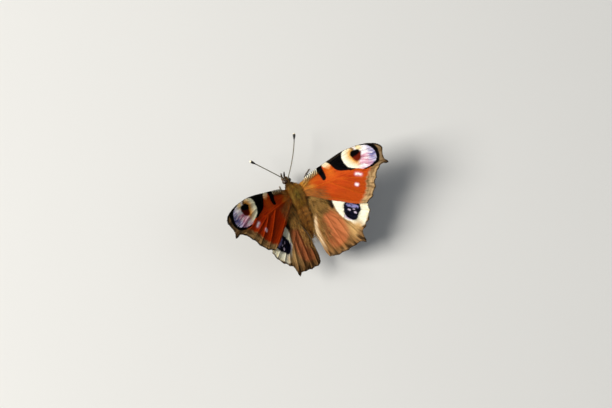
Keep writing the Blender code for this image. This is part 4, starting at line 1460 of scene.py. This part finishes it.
def make_fringes(word, wing, material, seed):
    """Two rows of narrow scales that stand out over the rim, darker at the vein tips."""
    rng = np.random.default_rng(seed)
    row = smooth_line(wing["edge"][::3], FRINGE_STEP)
    line = np.vstack((row, row))
    number = len(line)
    upper = np.repeat((True, False), len(row))
    # Where the first row ends and the second begins, the line jumps back
    along = unit(np.gradient(line, axis=0))
    along[len(row) - 1:len(row) + 1] = along[len(row) - 2]
    outward = -quarter_turned(along)
    lie = unit(outward + 0.25 * unit(line - wing["fan"]))
    sunk = rng.uniform(0.3, 0.42, number)
    flat_roots = line - outward * sunk[:, None]
    middle, _ = wing_form(flat_roots, wing)
    rise = np.where(upper, 0.04, -0.04) + rng.uniform(-0.03, 0.03, number)
    roots = np.column_stack((flat_roots, middle + rise))
    colours = mix(EDGE, FRINGE_PALE, ease((tip_gaps(line, wing["tips"]) - 0.6) / 0.6) * 0.75)
    colours = colours * rng.uniform(0.7, 1.15, number)[:, None]
    length = sunk + rng.uniform(0.02, 0.16, number)
    up = np.tile((0.0, 0.0, 1.0), (number, 1))
    flat = np.zeros(number)
    lie = np.column_stack((lie, flat))
    hair = hair_form(roots, up, lie, length, FRINGE_RADIUS, flat, 0.0, rng, curl=0.05)
    even = dict.fromkeys(SIDES, 1.0)
    add_to_wings(word, "fringe", wing, hair, flat_roots, colours, even, material, "wing_scales")


# Head

EYE_BACK, EYE_UP = -5.4, -0.85
EYE_MIDDLE_LEFT, EYE_LONG, EYE_HIGH, EYE_DEEP = 0.62, 0.8, 0.95, 0.96
EYE_RINGS, EYE_SIDES, EYE_SUNK = 22, 40, -0.35


def make_eyes(material):
    """Bulging compound eyes, each an egg shape sunk in the side of the head."""
    turns = 2 * np.pi * np.arange(EYE_SIDES) / EYE_SIDES
    rings = []
    for tilt in np.linspace(EYE_SUNK, math.pi / 2, EYE_RINGS):
        size = math.cos(tilt)
        rings.append(np.column_stack((
            np.full(EYE_SIDES, EYE_MIDDLE_LEFT + EYE_DEEP * math.sin(tilt)),
            EYE_BACK - EYE_LONG * size * np.cos(turns),
            EYE_UP + EYE_HIGH * size * np.sin(turns),
        )))
    faces = [ring_faces(EYE_RINGS, EYE_SIDES)]
    for name, side in SIDES.items():
        form = mirrored(np.vstack(rings), faces, side)
        add_piece(f"eye_{name}_dome", *form, material, "eye", f"eye_{name}")


ANTENNA_ROOT = np.array((0.5, -5.95, 0.2))
ANTENNA_TIPS = {"left": np.array((10.1, -16.1, 2.8)), "right": np.array((8.4, -18.0, 2.4))}
ANTENNA_BOW = np.array((0.35, 0.0, 0.9))
ANTENNA_RINGS, ANTENNA_SIDES, ANTENNA_SUNK = 40, 14, 0.35
SHAFT_RADIUS, CLUB_RADIUS, CLUB_STARTS, CLUB_WIDEST = 0.15, 0.42, 0.84, 0.94


def antenna_radii(shares, phase):
    """A thick root, a small second joint, a ringed shaft and a club that closes at its tip."""
    swell = np.clip((shares - CLUB_STARTS) / (CLUB_WIDEST - CLUB_STARTS), 0, 1)
    close = np.clip((shares - CLUB_WIDEST) / (1 - CLUB_WIDEST), 0, 1)
    radii = SHAFT_RADIUS + (CLUB_RADIUS - SHAFT_RADIUS) * np.sin(swell * np.pi / 2)
    radii = radii * np.sqrt(1 - 0.97 * close ** 2)
    radii = radii + 0.16 * np.exp(-((shares / 0.018) ** 2))
    radii = radii + 0.06 * np.exp(-(((shares - 0.03) / 0.01) ** 2))
    return radii * (1 + 0.09 * np.sin(np.pi * phase) ** 2)


def make_antennae(material):
    """Ringed shafts that swell into black clubs with pale tips."""
    shares = np.linspace(0.0, 1.0, ANTENNA_RINGS * 6 + 1)
    phase = (shares * ANTENNA_RINGS) % 1.0
    radii = antenna_radii(shares, phase)
    rings = layered(
        SHAFT_BROWN,
        (SHAFT_PALE, (phase < 0.3) * ease((CLUB_STARTS - shares) / 0.1) * 0.55),
        (CLUB_BLACK, ease((shares - CLUB_STARTS + 0.04) / 0.05)),
        (CLUB_TIP, ease((shares - 0.958) / 0.014)),
    )
    colours = np.vstack((np.repeat(rings, ANTENNA_SIDES, axis=0), rings[:1], rings[-1:]))
    bow = (4 * shares * (1 - shares))[:, None] * ANTENNA_BOW
    start = ANTENNA_ROOT - (0, 0, ANTENNA_SUNK)
    for name, side in SIDES.items():
        path = start + (ANTENNA_TIPS[name] - start) * shares[:, None] + bow
        form = mirrored(*tube(path, radii, ANTENNA_SIDES), side)
        nodes = [f"antenna_{name}"]
        add_piece(f"antenna_{name}_shaft", *form, material, "horn", *nodes, colours=colours)


# Left, back, up, radius
PALP = ((0.3, -6.3, -1.6, 0.14), (0.36, -6.75, -1.72, 0.17), (0.46, -7.2, -1.72, 0.21),
        (0.54, -7.75, -1.35, 0.18), (0.6, -8.25, -0.88, 0.07))
PALP_SIDES, PALP_HAIRS = 12, 900


def palp_fur(stations, rng):
    """Hair all round a palp, with its colours and places on the unwrap."""
    number = PALP_HAIRS
    share = rng.uniform(0, 1, number)
    places = np.arange(len(stations)) / (len(stations) - 1)
    centre = read_table(share, places, stations[:, :3])
    radius = np.interp(share, places, stations[:, 3])
    ahead = way_along(share, places, stations[:, :3], 0.03)
    turn = rng.uniform(0, 2 * np.pi, number)
    out = round_axis(ahead, turn, (0.0, 0.0, 1.0))
    roots = centre + out * (radius - 0.03)[:, None]
    length = rng.uniform(0.25, 0.5, number) * (1.1 - 0.5 * share)
    stand = np.radians(rng.uniform(15, 40, number))
    hair = hair_form(roots, out, ahead, length, 0.022, stand, 0.2, rng)
    colours = mix(PALP_DARK, PALP_PALE, ease(out[:, 0] * 0.8))
    colours = colours * rng.uniform(0.7, 1.3, number)[:, None]
    return hair, colours, round_patch(turn, share)


def make_palps(skin, fur):
    """The two furry feelers in front of the face."""
    stations = smooth_line(PALP, 0.1)
    form = tube(stations[:, :3], stations[:, 3], PALP_SIDES)
    brown = np.tile(PALP_BROWN, (len(form[0]), 1))
    hair, colours, patches = palp_fur(stations, np.random.default_rng(PALP_SEED))
    for name, side in SIDES.items():
        own = mirrored(*form, side)
        add_piece(f"palp_{name}_skin", *own, skin, "body_fur", f"palp_{name}", colours=brown)
        make_hair(f"palp_{name}_fur", hair * (side, 1, 1), colours, patches, fur, "body_fur")


COIL_MIDDLE = np.array((0.0, -6.2, -3.05))
COIL_TURNS, COIL_RADIUS, COIL_PITCH, COIL_THICK = 1.45, 0.9, 0.52, 0.2
COIL_STEPS, COIL_SIDES = 160, 16
MOUTH = (0.0, -5.95, -1.75)


def make_proboscis(material):
    """The tongue, coiled like a watch spring, ringed and darker along its middle."""
    shares = np.linspace(0.0, 1.0, COIL_STEPS)
    turn = math.pi / 2 - 2 * math.pi * COIL_TURNS * shares
    reach = COIL_RADIUS - COIL_PITCH * COIL_TURNS * shares
    circle = np.column_stack((np.zeros(COIL_STEPS), -reach * np.cos(turn), reach * np.sin(turn)))
    coil = COIL_MIDDLE + circle
    lead = np.linspace(MOUTH, coil[0], 12)[:-1]
    path = np.vstack((lead, coil))
    rings = np.arange(len(path))
    radii = COIL_THICK * np.interp(rings, (0, 20, len(path) - 1), (1.0, 0.95, 0.5))
    points, groups = tube(path, radii * (1 + 0.05 * np.cos(rings * 1.9)), COIL_SIDES)
    colours = mix(TONGUE_DARK, TONGUE_BROWN, ease(np.abs(points[:, 0]) / COIL_THICK))
    add_piece("proboscis_coil", points, groups, material, "horn", "proboscis", colours=colours)


# Legs

LEG_LENGTHS = {
    "midleg": {"back": -0.6, "below": 52, "heading": -24, "coxa": 1.0, "femur": 4.0, "rise": 14,
               "tibia": 6.4, "tarsus": 1.3, "foot": 1.9},
    "hindleg": {"back": 1.8, "below": 54, "heading": 50, "coxa": 1.0, "femur": 4.4, "rise": 12,
                "tibia": 6.6, "tarsus": 1.3, "foot": 2.0},
}
STAGGER, ANKLE_UP, LEG_GAP = 6, 1.1, 0.3
TARSUS_RADIUS = 0.15
HAIR_OVER_FLOOR = 0.03
LIMB_RINGS, LIMB_SIDES = 14, 12
# Radii along the hip, thigh, shin and ankle, and along each joint of the foot
LEG_RADII = (
    (0.5, 0.5, 0.36), (0.28, 0.34, 0.3, 0.22), (0.2, 0.22, 0.19, 0.18), (0.17, 0.15, TARSUS_RADIUS),
)
FOOT_JOINTS, JOINT_LAP, JOINT_RADII = 4, 1.06, (0.11, 0.14, TARSUS_RADIUS)
SHIN_SPINES, FOOT_SPINES = 12, 9
LEG_HAIRS, LEG_FUR_DEPTHS = 1700, (0.44, 0.28, 0.19, 0.15)


def thorax_surface(back, below):
    """A point on the thorax's side at an angle below level, and the way out from it there."""
    up, wide, high = thorax_at(back)
    point = np.array((wide * math.cos(below), back, up - high * math.sin(below)))
    return point, unit(np.array((math.cos(below) / wide, 0.0, -math.sin(below) / high)))


def leg_corners(leg, stagger):
    root, way = thorax_surface(leg["back"], math.radians(leg["below"]))
    turn = math.radians(leg["heading"] + stagger)
    heading = np.array((math.cos(turn), math.sin(turn), 0.0))
    rise = math.radians(leg["rise"])
    hip = root + way * (LEG_GAP + leg["coxa"])
    knee = hip + (heading * math.cos(rise) + np.array((0, 0, math.sin(rise)))) * leg["femur"]
    fall = knee[2] - (ANKLE_UP - THORAX_UP)
    ankle = knee + heading * math.sqrt(leg["tibia"] ** 2 - fall ** 2)
    ankle[2] = ANKLE_UP - THORAX_UP
    heel = ankle + heading * leg["tarsus"]
    heel[2] = TARSUS_RADIUS - THORAX_UP
    toe = heel + heading * leg["foot"]
    return root - way * 0.9, hip, knee, ankle, heel, toe, heading


def limb(start, end, radii):
    """One segment of a leg: radii at even places from its start to its end."""
    shares = np.linspace(0.0, 1.0, LIMB_RINGS)
    path = start + (end - start) * shares[:, None]
    thick = np.interp(shares, np.linspace(0, 1, len(radii)), radii)
    rounded = np.sqrt(np.clip(1 - (2 * shares - 1) ** 10, 0.05, 1))
    return tube(path, thick * rounded, LIMB_SIDES)


def spike(root, way, length, radius):
    path = root + way * (length * np.linspace(0, 1, 4))[:, None]
    return tube(path, radius * np.array((1, 0.8, 0.5, 0.05)), 5, across=(way[1], -way[0], 0.3))


def leg_speckle(points, seed):
    """Pale scales sprinkled over the brown of a leg."""
    grain = noise(points[:, :2] * 5 + points[:, 2:] * 3, seed)
    return mix(LEG_BROWN, LEG_PALE, ease(grain * 1.4))


def claws(toe, heading, across):
    """Two hooks at the end of a foot."""
    shares = np.linspace(0.0, 1.0, 8)[:, None]
    fall = np.array((0, 0, -0.1)) * shares ** 2 + np.array((0, 0, 0.05)) * np.sin(shares * np.pi)
    for way in (-1, 1):
        reach = heading * 0.34 * shares + across * way * (0.07 + 0.12 * shares)
        yield tube(toe + reach + fall, np.linspace(0.05, 0.012, 8), 6)


def shin_spines(knee, ankle, across, rng):
    """Two rows of spines under the shin, and two spurs at its end."""
    shank = unit(ankle - knee)
    under = np.cross(shank, across)
    under = under * (-1 if under[2] > 0 else 1)
    for share in np.linspace(0.12, 0.96, SHIN_SPINES):
        for way in (-1, 1):
            out = unit(under + 0.8 * way * across)
            root = knee + (ankle - knee) * share + out * 0.15
            yield spike(root, unit(out * 0.8 + shank), rng.uniform(0.3, 0.45), 0.025)
    for way in (-1, 1):
        lean = unit(0.4 * way * across + 0.5 * under + shank)
        yield spike(ankle - shank * 0.1, lean, 0.7, 0.045)


def foot_spines(heel, toe, heading, across):
    for share in np.linspace(0.1, 0.95, FOOT_SPINES):
        for way in (-1, 1):
            lean = unit(0.7 * way * across + heading * 0.7 + np.array((0, 0, -0.15)))
            root = heel + (toe - heel) * share + across * way * 0.1
            yield spike(root, lean, 0.16, 0.018)


def walking_leg_parts(leg, stagger, seed):
    """Segments, foot joints, claws and spines of one walking leg, as one form."""
    *corners, toe, heading = leg_corners(leg, stagger)
    _, _, knee, ankle, heel = corners
    across = np.array((heading[1], -heading[0], 0.0))
    parts = [limb(*ends) for ends in zip(corners, corners[1:], LEG_RADII)]
    step = (toe - heel) / FOOT_JOINTS
    for joint in range(FOOT_JOINTS):
        start, end = heel + step * joint, heel + step * (joint + JOINT_LAP)
        parts.append(limb(start, end, JOINT_RADII))
    parts += list(claws(toe, heading, across))
    parts += list(shin_spines(knee, ankle, across, np.random.default_rng(seed)))
    parts += list(foot_spines(heel, toe, heading, across))
    return joined([(points, groups, leg_speckle(points, seed)) for points, groups in parts])


def limb_fur(corners, thickness, count, lengths, rng):
    """Hair lying along a chain of limbs of the given thicknesses."""
    corners, thickness = np.asarray(corners), np.asarray(thickness)
    steps = np.diff(corners, axis=0)
    spans = np.linalg.norm(steps, axis=1)
    area = spans * thickness
    pick = rng.choice(len(spans), count, p=area / area.sum())
    share = rng.uniform(0.02, 1, count)
    ahead = unit(steps)[pick]
    centre = corners[pick] + share[:, None] * steps[pick]
    turn = rng.uniform(0, 2 * np.pi, count)
    out = round_axis(ahead, turn, (0.3, 0.2, 1.0))
    length = rng.uniform(*lengths, count) * (0.6 + thickness[pick])
    stand = np.radians(rng.uniform(12, 32, count))
    roots = centre + out * (thickness[pick] - 0.05)[:, None]
    hair = hair_form(roots, out, ahead, length, 0.019, stand, 0.15, rng, tufts=5)
    return hair, round_patch(turn, (pick + share) / len(spans))


def make_walking_legs(material, fur):
    for number, (kind, leg) in enumerate(LEG_LENGTHS.items()):
        for name, side in SIDES.items():
            own = 10 * number + side
            stagger = side * STAGGER / 2
            points, groups, colours = walking_leg_parts(leg, stagger, LEG_SEED + own)
            form = mirrored(points, groups, side)
            word = f"{kind}_{name}"
            add_piece(f"{word}_limb", *form, material, "horn", word, colours=colours)
            rng = np.random.default_rng(LEG_FUR_SEED + own)
            corners = leg_corners(leg, stagger)[:5]
            hair, patches = limb_fur(corners, LEG_FUR_DEPTHS, LEG_HAIRS, (0.3, 0.7), rng)
            hair[..., 2] = np.maximum(hair[..., 2], HAIR_OVER_FLOOR - THORAX_UP)
            shade = mix(LEG_BROWN, LEG_PALE, rng.uniform(0, 1, len(hair)))
            make_hair(f"{word}_fur", hair * (side, 1, 1), shade, patches, fur, "body_fur")


FORELEG_BACK, FORELEG_BELOW = -2.2, 62
FORELEG_BENDS = ((0.25, -1.0, -1.1), (0.1, -1.3, 0.35))
FORELEG_RADII = (0.3, 0.25, 0.2, 0.17)
FORELEG_HAIRS, FORELEG_FUR_DEPTHS = 1200, (0.27, 0.21, 0.16)


def make_forelegs(material, fur):
    """The short brush legs, folded under the breast."""
    root, way = thorax_surface(FORELEG_BACK, math.radians(FORELEG_BELOW))
    corners = [root - way * 0.8, root + way * 0.9]
    for bend in FORELEG_BENDS:
        corners.append(corners[-1] + np.array(bend))
    parts = []
    for start, end, *radii in zip(corners, corners[1:], FORELEG_RADII, FORELEG_RADII[1:]):
        points, groups = limb(start, end, radii)
        parts.append((points, groups, leg_speckle(points, FORELEG_SEED)))
    points, groups, colours = joined(parts)
    for name, side in SIDES.items():
        word = f"foreleg_{name}"
        form = mirrored(points, groups, side)
        add_piece(f"{word}_limb", *form, material, "body_fur", word, colours=colours)
        rng = np.random.default_rng(FORELEG_FUR_SEED)
        hair, patches = limb_fur(corners, FORELEG_FUR_DEPTHS, FORELEG_HAIRS, (0.5, 1.0), rng)
        shade = mix(LEG_BROWN, LEG_PALE, rng.uniform(0, 0.8, len(hair)))
        make_hair(f"{word}_fur", hair * (side, 1, 1), shade, patches, fur, "body_fur")


# Floor, light and camera

FLOOR_HALF = 0.6
# "way" is where a light stands as seen from the butterfly; distances and sizes are metres
LIGHTS = {
    "key": {
        "way": (0.84, -0.3, 0.56), "distance": 1.5, "size": 0.6, "power": 34.65,
        "colour": (1.0, 0.97, 0.92),
    },
    "fill": {
        "way": (-0.7, 0.3, 0.9), "distance": 1.2, "size": 1.0, "power": 1.4,
        "colour": (0.92, 0.96, 1.0),
    },
}
WORLD_COLOUR, WORLD_STRENGTH = (0.9, 0.94, 1.0, 1.0), 0.13


def make_floor():
    mesh = bpy.data.meshes.new("floor")
    corners = [(x * FLOOR_HALF, y * FLOOR_HALF, 0) for x, y in ((-1, -1), (1, -1), (1, 1), (-1, 1))]
    mesh.from_pydata(corners, [], [(0, 1, 2, 3)])
    mesh.materials.append(floor_material())
    floor = bpy.data.objects.new("floor", mesh)
    bpy.context.scene.collection.objects.link(floor)
    floor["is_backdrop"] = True


def add_light(name, way, distance, size, power, colour):
    """A square soft light that looks at the butterfly from a direction."""
    light = bpy.data.lights.new(name, "AREA")
    light.shape = "SQUARE"
    light.size = size
    light.energy = power
    light.color = colour
    lamp = bpy.data.objects.new(name, light)
    towards = Vector(way).normalized()
    lamp.location = Vector((0, 0, 0.01)) + towards * distance
    lamp.rotation_euler = towards.to_track_quat("Z", "Y").to_euler()
    bpy.context.scene.collection.objects.link(lamp)


def make_lights():
    """One soft key light over the butterfly's left side, a weak fill and a dim world."""
    for name, light in LIGHTS.items():
        add_light(name, **light)
    world = bpy.data.worlds.new("studio")
    world.use_nodes = True
    background = world.node_tree.nodes["Background"]
    background.inputs["Color"].default_value = WORLD_COLOUR
    background.inputs["Strength"].default_value = WORLD_STRENGTH
    bpy.context.scene.world = world
    bpy.context.scene.view_settings.view_transform = "Standard"


# The camera looks down over the butterfly's left side, turned so that its head points up and left
CAMERA_LEAN, CAMERA_ROLL = math.radians(25.0), math.radians(26.69)
CAMERA_DISTANCE, CAMERA_LENS = 0.54, 100.0
AIM_BEHIND_THORAX, AIM_UP = 0.003, 0.008
PHOTO_WIDE, AIM_PIXEL = 612, 299.47


def make_camera():
    back = Vector((math.sin(CAMERA_LEAN), 0.0, math.cos(CAMERA_LEAN)))
    ahead = Vector((0.0, -1.0, 0.0))
    up = math.cos(CAMERA_ROLL) * ahead + math.sin(CAMERA_ROLL) * ahead.cross(back)
    across = up.cross(back)
    camera = bpy.data.cameras.new("camera")
    camera.lens = CAMERA_LENS
    camera.sensor_width = 36.0
    camera.clip_start, camera.clip_end = 0.01, 5.0
    camera.shift_x = (PHOTO_WIDE / 2 - AIM_PIXEL) / PHOTO_WIDE
    holder = bpy.data.objects.new("camera", camera)
    place = Matrix((across, up, back)).transposed().to_4x4()
    aim = Vector((0.0, MIDDLE[1] * MM + AIM_BEHIND_THORAX, AIM_UP))
    place.translation = aim + back * CAMERA_DISTANCE
    holder.matrix_world = place
    bpy.context.scene.collection.objects.link(holder)
    bpy.context.scene.camera = holder


def make_wings(skin, scales, fur):
    for wing in (FOREWING, HINDWING):
        complete_wing(wing)
    pairs = ("forewing", FOREWING, paint_forewing), ("hindwing", HINDWING, paint_hindwing)
    for word, wing, paint in pairs:
        make_membranes(word, wing, paint, skin)
        make_scales(word, wing, paint, True, scales, UPPER_SEED)
        make_scales(word, wing, paint_underside, False, scales, LOWER_SEED)
        make_fringes(word, wing, scales, FRINGE_SEED)
    make_wing_hair("forewing", FOREWING, forewing_hair_chance, fur)
    make_wing_hair("hindwing", HINDWING, hindwing_hair_chance, fur)


def write_sizes():
    """Puts the boxes of the solids and of this model into plain lists."""
    boxes = {"cad": CAD_BOX, "visual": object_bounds()}
    plain = {
        name: [[float(value) for value in corner] for corner in box] for name, box in boxes.items()
    }


def main():
    finishes = [painted_material(name, **finish) for name, finish in FINISHES.items()]
    skin, scales, fur, hide, horn = finishes
    make_camera()
    make_lights()
    make_floor()
    make_wings(skin, scales, fur)
    make_body_skin(hide)
    for place, name in enumerate(COATS):
        make_body_coat(name, fur, COAT_SEED + place)
    make_eyes(eye_material())
    make_antennae(horn)
    make_palps(hide, fur)
    make_proboscis(horn)
    make_walking_legs(horn, fur)
    make_forelegs(hide, fur)


main()
write_sizes()
